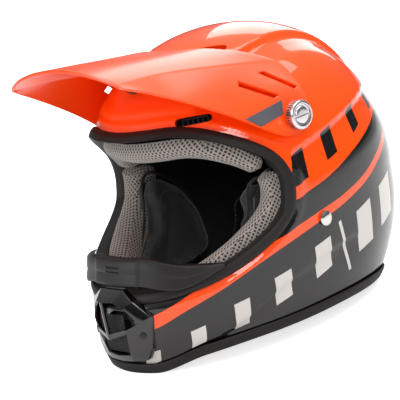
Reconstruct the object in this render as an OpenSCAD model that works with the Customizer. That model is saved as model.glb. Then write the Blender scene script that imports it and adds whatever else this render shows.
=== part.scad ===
// Off-road helmet with a tilting visor, a padded removable liner and a buckled chin strap.
// It stands on its lower edge at Z = 0, faces -Y, and X = 0 is its mirror plane.

/* [Shell] */
// Overall width of the shell
shell_w = 236; // [196:1:284]
// Overall length, from the chin bar's front to the back of the head
shell_l = 304; // [253:1:365]
// Height of the crown above the resting plane
shell_h = 241; // [200:1:290]
// Wall of the moulded shell
shell_wall = 4; // [3:0.5:5]

/* [Liner] */
// Thickness of the foam that takes the impact
eps_t = 24; // [18:1:29]
// Thickness of the crown and nape padding
pad_t = 9; // [7:0.5:11]
// Thickness of the cheek pads
cheek_t = 24; // [18:1:29]
// Clearance between neighbouring curved layers
layer_gap = 1; // [0.8:0.1:1.4]

/* [Edge trims] */
// Width of the rubber band on the shell's face
trim_w = 9; // [6:0.5:11]
// Thickness of the rubber band
trim_t = 2.2; // [1.5:0.1:3]
// Depth of the lip that goes in through the eye port
trim_lip = 10; // [7:0.5:14]

/* [Visor] */
// Thickness of the visor's panels
visor_t = 2.6; // [2:0.1:3.2]
// Diameter of the thumb screws' heads
screw_head_d = 24; // [19:0.5:28]
// Diameter of the screws' shoulders, on which the visor turns
shoulder_d = 9; // [7.5:0.5:11]
// Radial clearance of the visor's bushes on the shoulders
turn_gap = 0.06; // [0.03:0.01:0.1]

/* [Chin strap] */
// Width of the webbing
web_w = 22; // [18:1:26]
// Thickness of the webbing
web_t = 1.8; // [1.2:0.1:2.4]
// Diameter of the rivets' heads
rivet_d = 12; // [10:0.5:15]

/* [Hidden] */
$fn = 48;

// ---- The shell's form: level slices with superelliptic outlines, and a dome above the widest level ----
half_w = shell_w / 2;
half_l = shell_l / 2;
dome_from = 0.436;
ring_n = 48;
width_at = [[0, 0.856], [0.104, 0.924], [0.207, 0.966], [0.311, 0.987], [dome_from, 1]];
front_at = [[0, 0.90], [0.104, 0.915], [0.207, 0.895], [0.311, 0.825], [dome_from, 0.77]];
back_at = [[0, 0.717], [0.104, 0.855], [0.207, 0.941], [0.311, 0.987], [dome_from, 1]];
front_power = [[0, 2], [0.311, 2.05], [dome_from, 2.1]];
back_power = [[0, 2.2], [0.207, 2.3], [dome_from, 2.25]];
dome_power = [2.25, 2, 2.15];
centre_y = 0.164;

function secant(s, i) = (s[i + 1][1] - s[i][1]) / (s[i + 1][0] - s[i][0]);
function tangent(s, i) =
    i == 0 ? secant(s, 0)
    : i == len(s) - 1 ? secant(s, i - 1)
    : secant(s, i - 1) * secant(s, i) <= 0 ? 0
    : 2 * secant(s, i - 1) * secant(s, i) / (secant(s, i - 1) + secant(s, i));
function span_of(s, v, i = 0) = i >= len(s) - 2 || v < s[i + 1][0] ? i : span_of(s, v, i + 1);
// Smooth curve through [place, value] stations, read at v
function through(s, v) =
    let (i = span_of(s, v), h = s[i + 1][0] - s[i][0], t = min(1, max(0, (v - s[i][0]) / h)))
    (2 * t ^ 3 - 3 * t ^ 2 + 1) * s[i][1] + (t ^ 3 - 2 * t ^ 2 + t) * h * tangent(s, i)
    + (3 * t ^ 2 - 2 * t ^ 3) * s[i + 1][1] + (t ^ 3 - t ^ 2) * h * tangent(s, i + 1);

function level_y(z) = half_l * centre_y * min(1, max(0, z / shell_h / dome_from));
function dome(z, inset, n) =
    let (from = dome_from * shell_h, s = min(1, max(0, (z - from) / (shell_h - inset - from))))
    (1 - s ^ n) ^ (1 / n);
// Point of the form at angle a around the head (0 = front, 90 = left side), height z, moved in by inset
function skin_point(a, z, inset = 0) =
    let (t = min(z / shell_h, dome_from),
         front = cos(a) >= 0,
         n = front ? through(front_power, t) : through(back_power, t),
         reach = front ? half_l * through(front_at, t) + level_y(z) : half_l * through(back_at,
             t) - level_y(z),
         w = (half_w * through(width_at, t) - inset) * dome(z, inset, dome_power[0]),
         r = (reach - inset) * dome(z, inset, front ? dome_power[1] : dome_power[2]))
    [w * sign(sin(a)) * abs(sin(a)) ^ (2 / n), level_y(z) - r * sign(cos(a)) * abs(cos(a)) ^ (2 / n), z];
// Half width of the form where a line across the head at (y, z) meets it
function side_x(y, z, inset = 0) =
    let (t = min(z / shell_h, dome_from),
         front = y < level_y(z),
         n = front ? through(front_power, t) : through(back_power, t),
         reach = front ? half_l * through(front_at, t) + level_y(z) : half_l * through(back_at,
             t) - level_y(z),
         w = (half_w * through(width_at, t) - inset) * dome(z, inset, dome_power[0]),
         r = (reach - inset) * dome(z, inset, front ? dome_power[1] : dome_power[2]),
         u = min(1, abs(y - level_y(z)) / max(r, 1)))
    w * (1 - u ^ n) ^ (1 / n);

function unit(v) = v / norm(v);
// Outward direction of the form at (a, z)
function outward(a, z) =
    let (e = 0.5, u = skin_point(a + e, z) - skin_point(a - e, z), v = skin_point(a,
        z + e) - skin_point(a, z - e))
    unit(cross(u, v));

// ---- Solids made of rings of points ----
// Polyhedron whose faces are turned to point outwards, whichever way round its rings were given
module closed(points, faces) {
    signed = [for (f = faces) points[f[0]] * cross(points[f[1]], points[f[2]])] * [for (f = faces) 1];
    polyhedron(points, signed < 0 ? faces : [for (f = faces) [f[2], f[1], f[0]]], convexity = 10);
}
// Closed solid between rings of the same number of points; its ends close on their middles
module skin(rings) {
    n = len(rings[0]);
    m = len(rings);
    middle = function (r) [for (k = [0:2]) [for (p = r) p[k]] * [for (p = r) 1 / len(r)]];
    points = concat([for (r = rings) each r], [middle(rings[0]), middle(rings[m - 1])]);
    sides = [for (j = [0:m - 2], i = [0:n - 1], half = [0, 1])
        let (a = j * n + i, b = j * n + (i + 1) % n, c = a + n, d = b + n)
        half == 0 ? [a, b, d] : [a, d, c]];
    ends = [for (i = [0:n - 1], top = [0, 1])
        let (a = i, b = (i + 1) % n)
        top == 0 ? [b, a, m * n] : [(m - 1) * n + a, (m - 1) * n + b, m * n + 1]];
    closed(points, concat(sides, ends));
}
// Closed band: a section of points carried round a loop
module band(loop) {
    n = len(loop[0]);
    m = len(loop);
    points = [for (r = loop) each r];
    closed(points, [for (j = [0:m - 1], i = [0:n - 1], half = [0, 1])
        let (a = j * n + i, b = j * n + (i + 1) % n, c = ((j + 1) % m) * n + i,
            d = ((j + 1) % m) * n + (i + 1) % n)
        half == 0 ? [a, b, d] : [a, d, c]]);
}
module mirrored(left) {
    mirror([left ? 0 : 1, 0, 0]) children();
}

// The whole form, closed, from height z0 to its top
module form(inset, z0, rows = 18) {
    top = shell_h - inset;
    skin([for (j = [0:rows]) let (z = z0 + (top - z0) * sin(89 * j / rows))
        [for (i = [0:ring_n - 1]) skin_point(-360 * (i + 0.5) / ring_n, z, inset)]]);
}

// ---- Openings of the shell ----
// Half outline of the eye port, from the brow's middle down to the chin's, as [angle, share of height]
port_half = [[0, 0.766], [16, 0.768], [30, 0.766], [42, 0.747], [53, 0.71], [62, 0.664], [68.5, 0.61],
    [71.5, 0.54], [70.5, 0.465], [67, 0.411], [60, 0.365], [46, 0.311], [25, 0.274], [0, 0.266]];
port_corners = concat(port_half, [for (i = [len(port_half) - 2:-1:1]) [-port_half[i][0], port_half[i][1]]]);
corner_n = len(port_corners);
// Smooth outline through the corners, at corner number u
function port_at(u) =
    let (i = floor(u), f = u - i, p = function (k) port_corners[(k + corner_n) % corner_n])
    let (a = p(i - 1), b = p(i), c = p(i + 1), d = p(i + 2))
    0.5 * (2 * b + f * (c - a) + f ^ 2 * (2 * a - 5 * b + 4 * c - d) + f ^ 3 * (3 * b - a - 3 * c + d));
port_n = 64;
port = [for (i = [0:port_n - 1]) port_at(corner_n * (i + 0.5) / port_n)];
module port_cutter() {
    ring = function (inset) [for (p = port) skin_point(p[0], p[1] * shell_h, inset)];
    skin([[for (q = ring(-30)) [q[0], -shell_l, q[2]]], ring(-30), ring(75)]);
}
// Lower edge of the shell, by angle: it rests at the chin and at the back and rises a little at the jaw
edge_at = [[0, 0], [16, 0], [40, 1], [60, 1.25], [85, 1.2], [120, 0.75], [150, 0], [180, 0]];
edge_rise = 10;
bead_h = 5;
edge_n = 60;
function edge_z(a) = bead_h + edge_rise * through(edge_at, abs(a > 180 ? a - 360 : a));
module below_edge(lift = 0) {
    angles = [for (i = [0:edge_n - 1]) 360 * (i + 0.3) / edge_n];
    skin([
        [for (a = angles) let (p = skin_point(a, 0, -30)) [p[0], p[1], -20]],
        [for (a = angles) let (p = skin_point(a, 10, -30)) [p[0], p[1], edge_z(a) + lift]],
        [for (a = angles) let (p = skin_point(a, 10, 60)) [p[0], p[1], edge_z(a) + lift]]]);
}

// Vents: rounded slots that run through the shell and the foam, [x, y share, z share, length, height, turn]
function forehead_vent(s) = [s * 0.275 * shell_w, -0.205 * shell_l, 0.793 * shell_h];
function crown_vent(s) = [s * 0.17 * shell_w, -0.02 * shell_l, 0.95 * shell_h];
function exhaust_vent(s) = [s * 0.16 * shell_w, 0.42 * shell_l, 0.70 * shell_h];
function nape_vent(s) = [s * 0.14 * shell_w, 0.47 * shell_l, 0.40 * shell_h];
// Slot of the given width and height, driven along a direction from inside to outside
module slot(at, toward, width, height, reach_in, reach_out) {
    spin = atan2(toward[1], toward[0]);
    tilt = atan2(toward[2], norm([toward[0], toward[1]]));
    translate(at) rotate([0, 0, spin]) rotate([0, -tilt, 0]) hull()
        for (s = [-1, 1]) translate([-reach_in, s * (width - height) / 2, 0])
            rotate([0, 90, 0]) cylinder(d = height, h = reach_in + reach_out, $fn = 12);
}
vent_in = shell_wall + eps_t + 16;
forehead_vent_size = [30, 7];
exhaust_vent_size = [30, 12];
module vents(grow = 0) {
    for (s = [-1, 1]) {
        slot(forehead_vent(s), [s * 0.55, -0.7, 0.3], forehead_vent_size[0] + grow,
            forehead_vent_size[1] + grow, vent_in, 20);
        slot(crown_vent(s), [s * 0.3, -0.35, 0.9], 26 + grow, 8 + grow, vent_in, 20);
        slot(exhaust_vent(s), [s * 0.3, 0.85, 0.45], exhaust_vent_size[0] + grow,
            exhaust_vent_size[1] + grow, vent_in, 20);
        slot(nape_vent(s), [s * 0.2, 1, 0], 24 + grow, 7 + grow, vent_in, 20);
    }
}

// ---- Visor pivot, screws and rivets ----
pivot_y = 0.013 * shell_l;
pivot_z = 0.722 * shell_h;
pivot_x = side_x(pivot_y, pivot_z);
boss_proud = 5.3;
boss_d = shoulder_d + 10;
bush_t = 4;
seat_x = pivot_x + boss_proud;
insert_d = 12;
// The centre screw points at the visor's pivot axis, so that the visor's tab slides round it
tab_angle = 36;
tab_r = norm([pivot_y + 0.181 * shell_l, 0.178 * shell_h]) + 13;
tab_t = 2.2;
tab_w = 22;
shaft_d = 6;
tilt_up = 4;
tilt_down = 6;
rivet_y = 0.01 * shell_l;
rivet_z = 0.363 * shell_h;
rivet_x = side_x(rivet_y, rivet_z);
module at_pivot(left) {
    mirrored(left) translate([seat_x, pivot_y, pivot_z]) rotate([0, 90, 0]) children();
}
// Frame of the centre screw: its origin is on the tab's outer face, and +Z points out along the screw
module at_tab_screw() {
    translate([0, pivot_y, pivot_z]) rotate([90 - tab_angle, 0, 0]) translate([0, 0,
        tab_r + tab_t]) children();
}
module at_rivet(left) {
    mirrored(left) translate([rivet_x, rivet_y, rivet_z]) rotate([0, 90, 0]) children();
}

// ---- Shell and foam ----
module outer_shell() {
    color("orangered") difference() {
        union() {
            form(0, 0);
            for (left = [true, false]) at_pivot(left) translate([0, 0, -boss_proud - 2])
                cylinder(d = boss_d - 1, h = boss_proud + 1.6, $fn = 32);
        }
        form(shell_wall, -1);
        port_cutter();
        below_edge();
        vents();
        for (left = [true, false]) {
            at_pivot(left) translate([0, 0, -25]) cylinder(d = insert_d + layer_gap, h = 50, $fn = 24);
            at_rivet(left) translate([0, 0, -12]) cylinder(d = shaft_d + 1, h = 24, $fn = 24);
        }
        at_tab_screw() translate([0, 0, -60]) cylinder(d = insert_d + 2 * layer_gap, h = 60, $fn = 24);
        mouth_hole();
        at_mouth_screws() translate([0, 0, -20]) cylinder(d = mouth_screw_d + 0.7, h = 20, $fn = 16);
    }
}
eps_out = shell_wall + layer_gap;
eps_in = eps_out + eps_t;
eps_lift = 7;
hanger_w = web_w + 6;
strap_y = rivet_y;
// Room for the strap's hangers between the foam and the shell, and for the strap below them
module hanger_rooms() {
    for (left = [true, false]) mirrored(left) hull() {
        translate([half_w - 42, strap_y - hanger_w / 2 - 13, -5]) cube([60, hanger_w + 26, 42]);
        translate([half_w - 24, strap_y - hanger_w / 2 - 3, rivet_z + 6]) cube([60, hanger_w + 6, 8]);
    }
}
chin_foam_t = 16;
chin_reach = 46;
chin_gap = 1.6;
// Where the chin's foam ends, so that the main liner starts behind it
chin_end_rise = 0.275;
chin_foam_end = skin_point(chin_reach, chin_end_rise * shell_h, eps_out + chin_foam_t)[1];
module eps_liner() {
    color("dimgray") difference() {
        form(eps_out, 2, 14);
        form(eps_in, -2, 14);
        port_cutter();
        below_edge(eps_lift);
        // The chin's foam is a separate piece
        translate([-half_w, -half_l - 20, -30])
            cube([shell_w, half_l + 20 + chin_foam_end + chin_gap, 0.62 * shell_h + 30]);
        vents(2);
        hanger_rooms();
        at_studs() translate([0, 0, -3]) cylinder(d = stud_d + 2, h = 9, $fn = 16);
        for (left = [true, false]) at_pivot(left) translate([0, 0, -25]) cylinder(d = insert_d + 9,
            h = 50, $fn = 24);
        at_tab_screw() translate([0, 0, -60]) cylinder(d = insert_d + 9, h = 60, $fn = 24);
    }
}
module chin_bar_foam() {
    reach = chin_reach;
    steps = 16;
    duct_w = 22;
    duct_h = 14;
    color("dimgray") difference() {
        skin([for (i = [0:steps]) let (a = reach - 2 * reach * i / steps,
            low = edge_z(a) + eps_lift, high = through([[0, 0.24], [25, 0.247], [chin_reach, chin_end_rise]],
                abs(a)) * shell_h)
            [skin_point(a, low, eps_out), skin_point(a, high, eps_out),
             skin_point(a, high, eps_out + chin_foam_t), skin_point(a, low, eps_out + chin_foam_t)]]);
        translate([-duct_w / 2, -half_l, 0.15 * shell_h - duct_h / 2]) cube([duct_w, 60, duct_h]);
    }
}

// ---- Edge trims ----
// Each point of the section is [away from the opening, out of the surface]
module eye_port_trim() {
    out = layer_gap + trim_t;
    section = [[trim_w, layer_gap], [trim_w, out], [-out, out], [-out, -trim_lip], [-layer_gap, -trim_lip],
        [-layer_gap, layer_gap]];
    color("#202022") band([for (i = [0:port_n - 1])
        let (q = port[i], before = port[(i + port_n - 1) % port_n], after = port[(i + 1) % port_n],
             along = skin_point(after[0], after[1] * shell_h) - skin_point(before[0], before[1] * shell_h),
             away = unit(cross(outward(q[0], q[1] * shell_h), along)))
        [for (c = section) skin_point(q[0], q[1] * shell_h, -c[1]) + c[0] * away]]);
}
module neck_trim() {
    section = [[4, 0], [4, 1.6], [0, 2], [-bead_h, 0.6], [-bead_h, -shell_wall - 2.6], [-0.7,
        -shell_wall - 2.8],
        [-0.7, 0]];
    color("#1c1c1e") band([for (i = [0:edge_n - 1])
        let (a = 360 * (i + 0.3) / edge_n, z = edge_z(a))
        [for (c = section) skin_point(a, z + c[0], -layer_gap - c[1])]]);
}

// ---- Padding ----
pad_out = eps_in + layer_gap;
pad_in = pad_out + pad_t;
// Crowned pad on the inside of the form: an outline of [angle, share of height], between two insets
module pad(outline, outer, inner) {
    middle = [for (k = [0, 1]) [for (p = outline) p[k]] * [for (p = outline) 1 / len(outline)]];
    shrunk = function (k, inset) [for (p = outline) let (q = middle + k * (p - middle)) skin_point(q[0],
        q[1] * shell_h, inset)];
    skin([shrunk(0.25, outer), shrunk(0.6, outer), shrunk(0.94, outer), shrunk(1,
        outer + (inner - outer) * 0.35),
        shrunk(0.97, outer + (inner - outer) * 0.75), shrunk(0.88, inner), shrunk(0.55, inner),
            shrunk(0.25, inner)]);
}
brow_half = [[0, 0.752], [16, 0.754], [30, 0.751], [40, 0.735], [48, 0.71], [54, 0.682]];
module brow_pad() {
    tops = concat([for (i = [len(brow_half) - 1:-1:1]) [-brow_half[i][0], brow_half[i][1]]], brow_half);
    color("gray") skin([for (p = tops) let (a = p[0], high = p[1] * shell_h, low = high - 9,
        d = shell_wall + 2)
        [skin_point(a, high, d), skin_point(a, high, d + eps_t), skin_point(a, low - 1, d + eps_t + 4),
         skin_point(a, low, d + 9), skin_point(a, low + 2, d + 1)]]);
}
module crown_pad() {
    rows = 6;
    steps = 36;
    low = function (a) (0.80 - 0.14 * (1 - cos(a)) / 2) * shell_h;
    ring = function (f, inset) [for (i = [0:steps - 1]) let (a = -360 * i / steps, z = low(a))
        skin_point(a, z + (shell_h - inset - z) * f, inset)];
    color("#3a3a3e") skin(concat(
        [for (j = [rows:-1:0]) ring(sin(89 * j / rows), pad_out)],
        [for (j = [0:rows]) ring(0.04 + 0.96 * sin(89 * j / rows), pad_in)]));
}
module nape_pad() {
    outline = [[130, 0.14], [150, 0.10], [180, 0.09], [210, 0.10], [230, 0.14], [232, 0.25], [215, 0.33],
        [180, 0.35], [145, 0.33], [128, 0.25]];
    color("#3a3a3e") pad(outline, pad_out + 0.5, pad_in + 5);
}
plate_t = 2;
plate_out = eps_in + layer_gap + 0.4;
cheek_out = plate_out + plate_t + layer_gap;
// Cheek pad outline in side view, as shares of [length, height]
cheek_outline = [[-0.255, 0.17], [-0.22, 0.155], [-0.12, 0.150], [0.0, 0.152], [0.07, 0.17], [0.09, 0.22],
    [0.085, 0.34], [0.04, 0.45], [-0.03, 0.52], [-0.075, 0.53], [-0.10, 0.50], [-0.115, 0.42],
    [-0.145, 0.35], [-0.19, 0.295], [-0.245, 0.27], [-0.265, 0.22]];
function side_ring(outline, k, inset) =
    let (middle = [for (c = [0, 1]) [for (p = outline) p[c]] * [for (p = outline) 1 / len(outline)]])
    [for (p = outline) let (q = middle + k * (p - middle), y = q[0] * shell_l,
        z = q[1] * shell_h) [side_x(y, z, inset), y, z]];
// Share of a cheek pad's thickness, by place along the shell's length: it thins towards the mouth
cheek_taper = [[-0.28, 0.45], [-0.14, 1], [0.1, 1]];
module cheek_pad(left) {
    ring = function (k, depth) [for (p = side_ring(cheek_outline, k, cheek_out))
        p - [depth * cheek_t * through(cheek_taper, p[1] / shell_l), 0, 0]];
    color("#a59d94") mirrored(left) skin([ring(0.3, 0), ring(0.6, 0), ring(0.9, 0), ring(1, 0.3),
        ring(0.97, 0.7),
        ring(0.86, 1), ring(0.5, 1), ring(0.2, 1)]);
}
module cheek_pad_left() {
    cheek_pad(true);
}
module cheek_pad_right() {
    cheek_pad(false);
}
module cheek_plate(left) {
    color("#26262a") mirrored(left) skin([for (inset = [plate_out, plate_out + plate_t]) each
        let (shares = inset == plate_out ? [0.3, 0.6, 0.9] : [0.9, 0.6, 0.3])
        [for (k = shares) side_ring(cheek_outline, k, inset)]]);
}
module cheek_plate_left() {
    cheek_plate(true);
}
module cheek_plate_right() {
    cheek_plate(false);
}
// Press studs on the backs of the cheek plates: each sits in a pocket of the foam
stud_d = 9;
stud_lift = 1.8;
stud_places = [[-0.125, 0.22], [-0.075, 0.2], [-0.02, 0.47]];
module at_studs() {
    for (left = [true, false], p = stud_places) mirrored(left)
        translate([side_x(p[0] * shell_l, p[1] * shell_h, plate_out), p[0] * shell_l, p[1] * shell_h])
            rotate([0, 90, 0]) children();
}
module cheek_snaps() {
    color("#303034") at_studs() {
        translate([0, 0, stud_lift]) cylinder(d = stud_d, h = 1.4);
        translate([0, 0, stud_lift + 0.9]) cylinder(d = stud_d - 4, h = 2);
    }
}

// ---- Nose guard and mouthpiece ----
guard_out = layer_gap + trim_t + 1.2;
guard_t = 3;
guard_top = [[0, 0.39], [13, 0.39], [30, 0.357], [46, 0.335]];
guard_low = [[0, 0.308], [13, 0.305], [30, 0.282], [46, 0.322]];
module nose_guard() {
    steps = 24;
    reach = 46;
    color("#232325") skin([for (i = [0:steps]) let (a = reach - 2 * reach * i / steps,
        z0 = through(guard_low, abs(a)) * shell_h, z1 = through(guard_top, abs(a)) * shell_h,
        lean = 0.25 * (z1 - z0))
        [skin_point(a, z0, -guard_out), skin_point(a, z0, -guard_out - guard_t),
         skin_point(a, z1 - 3, -guard_out - guard_t + lean * 0.3), skin_point(a, z1,
             -guard_out + lean * 0.3),
         skin_point(a, z1, -guard_out + guard_t + lean * 0.5)]]);
}
mouth_gap = 2;
mouth_t = 3;
// Front face of the mouthpiece at half width x and height share t: a ridge at the middle,
// meeting the shell's sides
mouth_ridge = [[0.04, 0.94], [0.075, 0.965], [0.147, 1], [0.277, 0.992], [0.30, 0.91]];
function mouth_front(x, t) =
    let (z = t * shell_h, edge = through([[0, 0], [38, 1]], min(38, abs(x))),
         ridge = -half_l * through(mouth_ridge, t) + mouth_t / 2,
         side = -(level_front(x, z)) - mouth_gap - mouth_t / 2)
    ridge + (side - ridge) * edge ^ 1.1;
function level_front(x, z) =
    let (t = z / shell_h, n = through(front_power, t), w = half_w * through(width_at, t),
        reach = half_l * through(front_at, t) + level_y(z))
    reach * (1 - (min(abs(x), w) / w) ^ n) ^ (1 / n) - level_y(z);
function mouth_point(x, t) = [x, mouth_front(x, t), t * shell_h];
module bar(points, d = mouth_t) {
    hull() for (p = points) translate(p) cube(d, center = true);
}
module mouthpiece() {
    color("#161618") difference() {
        mouthpiece_bars();
        at_mouth_screws() translate([0, 0, -10]) cylinder(d = mouth_screw_d + 0.7, h = 20, $fn = 16);
    }
}
module mouthpiece_bars() {
    for (s = [-1, 1]) {
        // brow of the intake
        bar([mouth_point(0, 0.30), mouth_point(s * 14, 0.298), mouth_point(0, 0.272), mouth_point(s * 11,
            0.27)]);
        bar([mouth_point(s * 14, 0.298), mouth_point(s * 26, 0.262), mouth_point(s * 11, 0.27),
            mouth_point(s * 19, 0.245)]);
        bar([mouth_point(s * 26, 0.262), mouth_point(s * 36, 0.2), mouth_point(s * 19, 0.245),
            mouth_point(s * 30, 0.19)]);
        // bridges from the ridge's foot up to the sides
        bar([mouth_point(0, 0.155), mouth_point(0, 0.14), mouth_point(s * 19, 0.172), mouth_point(s * 19,
            0.158)]);
        bar([mouth_point(s * 19, 0.172), mouth_point(s * 19, 0.158), mouth_point(s * 36, 0.2),
            mouth_point(s * 37, 0.19)]);
        // cheeks of the lower intake and the lip
        bar([mouth_point(s * 19, 0.158), mouth_point(s * 37, 0.19), mouth_point(s * 15, 0.075),
            mouth_point(s * 34, 0.095)]);
        bar([mouth_point(s * 15, 0.078), mouth_point(s * 34, 0.095), mouth_point(s * 14, 0.055),
            mouth_point(s * 28, 0.062)]);
        bar([mouth_point(0, 0.072), mouth_point(s * 15, 0.078), mouth_point(0, 0.052),
            mouth_point(s * 14, 0.055)]);
        // central rib
        bar([mouth_point(0, 0.28), mouth_point(0, 0.15), mouth_point(s * 1.5, 0.15), mouth_point(s * 1.5,
            0.28)]);
    }
}
// Opening of the shell behind the mouthpiece; the mesh closes it
hole_from = 0.078;
hole_to = 0.222;
hole_w = 38;
module mouth_hole() {
    r = 4;
    hull() for (x = [-1, 1], z = [hole_from * shell_h + r, hole_to * shell_h - r])
        translate([x * (hole_w / 2 - r), -half_l - 10, z]) rotate([-90, 0, 0]) cylinder(r = r, h = 60,
            $fn = 16);
}
mesh_t = 1.2;
module mouthpiece_mesh() {
    rows = 6;
    w = hole_w / 2 - 4;
    inner = mouth_t / 2 + 1.8;
    color("#101012") skin([for (j = [0:rows])
        let (t = hole_from + 0.006 + (hole_to - hole_from - 0.012) * j / rows, y = mouth_front(w,
            t) + inner)
        [[-w, y, t * shell_h], [w, y, t * shell_h], [w, y + mesh_t, t * shell_h], [-w, y + mesh_t,
            t * shell_h]]]);
}
mouth_screw_x = 30;
mouth_screw_t = 0.13;
mouth_screw_d = 3;
module at_mouth_screws() {
    front = function (x) mouth_front(x, mouth_screw_t);
    lean = atan2(front(mouth_screw_x + 1) - front(mouth_screw_x - 1), 2);
    for (left = [true, false]) mirrored(left)
        translate([mouth_screw_x, front(mouth_screw_x), mouth_screw_t * shell_h])
            rotate([0, 0, lean]) rotate([90, 0, 0]) children();
}
module mouthpiece_screws() {
    color("#303034") at_mouth_screws() {
        translate([0, 0, mouth_t / 2 + 0.5]) cylinder(d = 6, h = 1.2);
        translate([0, 0, -mouth_t / 2 - mouth_gap - 3]) cylinder(d = mouth_screw_d,
            h = mouth_t + mouth_gap + 3.6);
    }
}

// ---- Vent grilles ----
module grille(at, toward, size, bars) {
    spin = atan2(toward[1], toward[0]);
    tilt = atan2(toward[2], norm([toward[0], toward[1]]));
    frame = 1;
    translate(at) rotate([0, 0, spin]) rotate([0, -tilt, 0]) translate([-14, 0, 0]) {
        for (s = [-1, 1]) translate([0, -size[0] / 2 + 4, s * (size[1] / 2 - frame) - frame / 2])
            cube([6, size[0] - 8, frame]);
        for (i = [0:bars]) translate([0, -size[0] / 2 + 4 + (size[0] - 9) * i / bars,
            -size[1] / 2 + frame / 2])
            cube([4, frame, size[1] - frame]);
    }
}
module forehead_grille_left() {
    color("#1a1a1c") grille(forehead_vent(1), [0.55, -0.7, 0.3], forehead_vent_size, 5);
}
module forehead_grille_right() {
    color("#1a1a1c") grille(forehead_vent(-1), [-0.55, -0.7, 0.3], forehead_vent_size, 5);
}
module exhaust_grille_left() {
    color("#1a1a1c") grille(exhaust_vent(1), [0.3, 0.85, 0.45], exhaust_vent_size, 6);
}
module exhaust_grille_right() {
    color("#1a1a1c") grille(exhaust_vent(-1), [-0.3, 0.85, 0.45], exhaust_vent_size, 6);
}

// ---- Visor ----
// Corner of the visor: x as a share of the half width, y and z as shares of the length and the height
function corner(x, y, z) = [x * half_w, y * shell_l, z * shell_h];
arm_x = seat_x + 1 + visor_t / 2;
module panel(points) {
    hull() for (p = points) translate(p) cube(visor_t, center = true);
}
tip_0 = corner(0, -0.445, 1.058);
tip_1 = corner(0.27, -0.44, 1.048);
tip_2 = corner(0.51, -0.435, 1.018);
tip_3 = corner(0.62, -0.428, 0.99);
mid_1 = corner(0, -0.31, 1.034);
mid_2 = corner(0, -0.16, 1.0);
mid_3 = corner(0, -0.085, 0.985);
shoulder_1 = corner(0.33, -0.31, 1.025);
shoulder_2 = corner(0.34, -0.16, 0.994);
shoulder_3 = corner(0.35, -0.045, 0.977);
crease_1 = corner(0.61, -0.31, 0.982);
crease_2 = corner(0.65, -0.18, 0.955);
crease_3 = corner(0.68, -0.06, 0.918);
crease_4 = corner(0.72, 0.075, 0.885);
edge_4 = corner(0.56, 0.03, 0.94);
low_1 = corner(0.71, -0.345, 0.957);
low_2 = corner(0.86, -0.19, 0.80);
module visor() {
    low_3 = [arm_x, -0.04 * shell_l, pivot_z - 15];
    arm_low = [arm_x, pivot_y, pivot_z - 15];
    arm_rear = [arm_x, pivot_y + 15, pivot_z];
    arm_top = [arm_x - 3, pivot_y + 10, pivot_z + 18];
    arm_front = [arm_x, pivot_y - 22, pivot_z + 12];
    color("orangered") difference() {
        union() {
            for (s = [1, -1]) mirror([s == 1 ? 0 : 1, 0, 0]) {
                panel([tip_0, tip_1, mid_1, shoulder_1]);
                panel([tip_1, tip_2, shoulder_1, crease_1]);
                panel([tip_2, tip_3, crease_1]);
                panel([mid_1, shoulder_1, mid_2, shoulder_2]);
                panel([mid_2, shoulder_2, mid_3, shoulder_3]);
                panel([shoulder_1, crease_1, shoulder_2, crease_2]);
                panel([shoulder_2, crease_2, shoulder_3, crease_3]);
                panel([shoulder_3, crease_3, edge_4]);
                panel([edge_4, crease_3, crease_4]);
                panel([tip_3, crease_1, low_1]);
                panel([crease_1, crease_2, low_1, low_2]);
                panel([crease_2, crease_3, low_2, arm_front]);
                panel([crease_3, crease_4, arm_front, arm_top]);
                panel([low_2, low_3, arm_front]);
                panel([low_3, arm_low, arm_rear, arm_top, arm_front]);
            }
            // tab that slides round the centre screw
            panel([[-tab_w / 2, mid_2[1] - 2, mid_2[2]], [tab_w / 2, mid_2[1] - 2, mid_2[2]],
                [-tab_w / 2, mid_2[1] + 8, mid_2[2]], [tab_w / 2, mid_2[1] + 8, mid_2[2]]]);
            tab_strip();
        }
        for (s = [1, -1]) mirror([s == 1 ? 0 : 1, 0, 0]) {
            translate([0, pivot_y, pivot_z]) rotate([0, 90, 0]) cylinder(d = boss_d + 0.4, h = shell_w,
                $fn = 32);
            hull() {
                translate(corner(0.745, -0.085, 0.878)) sphere(d = 5, $fn = 8);
                translate(corner(0.80, 0.0, 0.79)) sphere(d = 7, $fn = 8);
            }
        }
    }
}
tab_from = 26;
tab_to = 52;
module tab_strip() {
    arc = function (r,
        turn) [for (i = [0:12]) let (a = tab_from + (tab_to - tab_from) * (turn ? 12 - i : i) / 12)
        [-r * cos(a), r * sin(a)]];
    difference() {
        translate([-tab_w / 2, pivot_y, pivot_z]) rotate([90, 0, 90]) linear_extrude(tab_w)
            polygon(concat(arc(tab_r, false), arc(tab_r + tab_t, true)));
        hull() for (a = [tab_angle - tilt_up - 2.5, tab_angle + tilt_down + 2.5])
            translate([0, pivot_y, pivot_z]) rotate([90 - a, 0, 0])
                cylinder(d = shaft_d + 1, h = tab_r + 10, $fn = 16);
    }
}
// Bush that the visor turns on: pressed into the visor's arm, with a bore that runs on the screw's shoulder
module visor_bush(left) {
    color("#2a2a2e") at_pivot(left) translate([0, 0, 0.2]) difference() {
        cylinder(d = boss_d, h = bush_t);
        translate([0, 0, -1]) cylinder(d = shoulder_d + 2 * turn_gap, h = bush_t + 2);
    }
}
module visor_bush_left() {
    visor_bush(true);
}
module visor_bush_right() {
    visor_bush(false);
}
head_h = 4.5;
coin_slot = 2;
module visor_screw(left) {
    shoulder_h = bush_t + 0.4;
    color("silver") at_pivot(left) difference() {
        union() {
            cylinder(d = shoulder_d, h = shoulder_h);
            translate([0, 0, -14]) cylinder(d = shaft_d, h = 14.5);
            translate([0, 0, shoulder_h]) cylinder(d = screw_head_d, h = head_h);
        }
        translate([-screw_head_d / 3, -coin_slot / 2,
            shoulder_h + head_h - 1.5]) cube([2 * screw_head_d / 3, coin_slot, 3]);
    }
}
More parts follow.
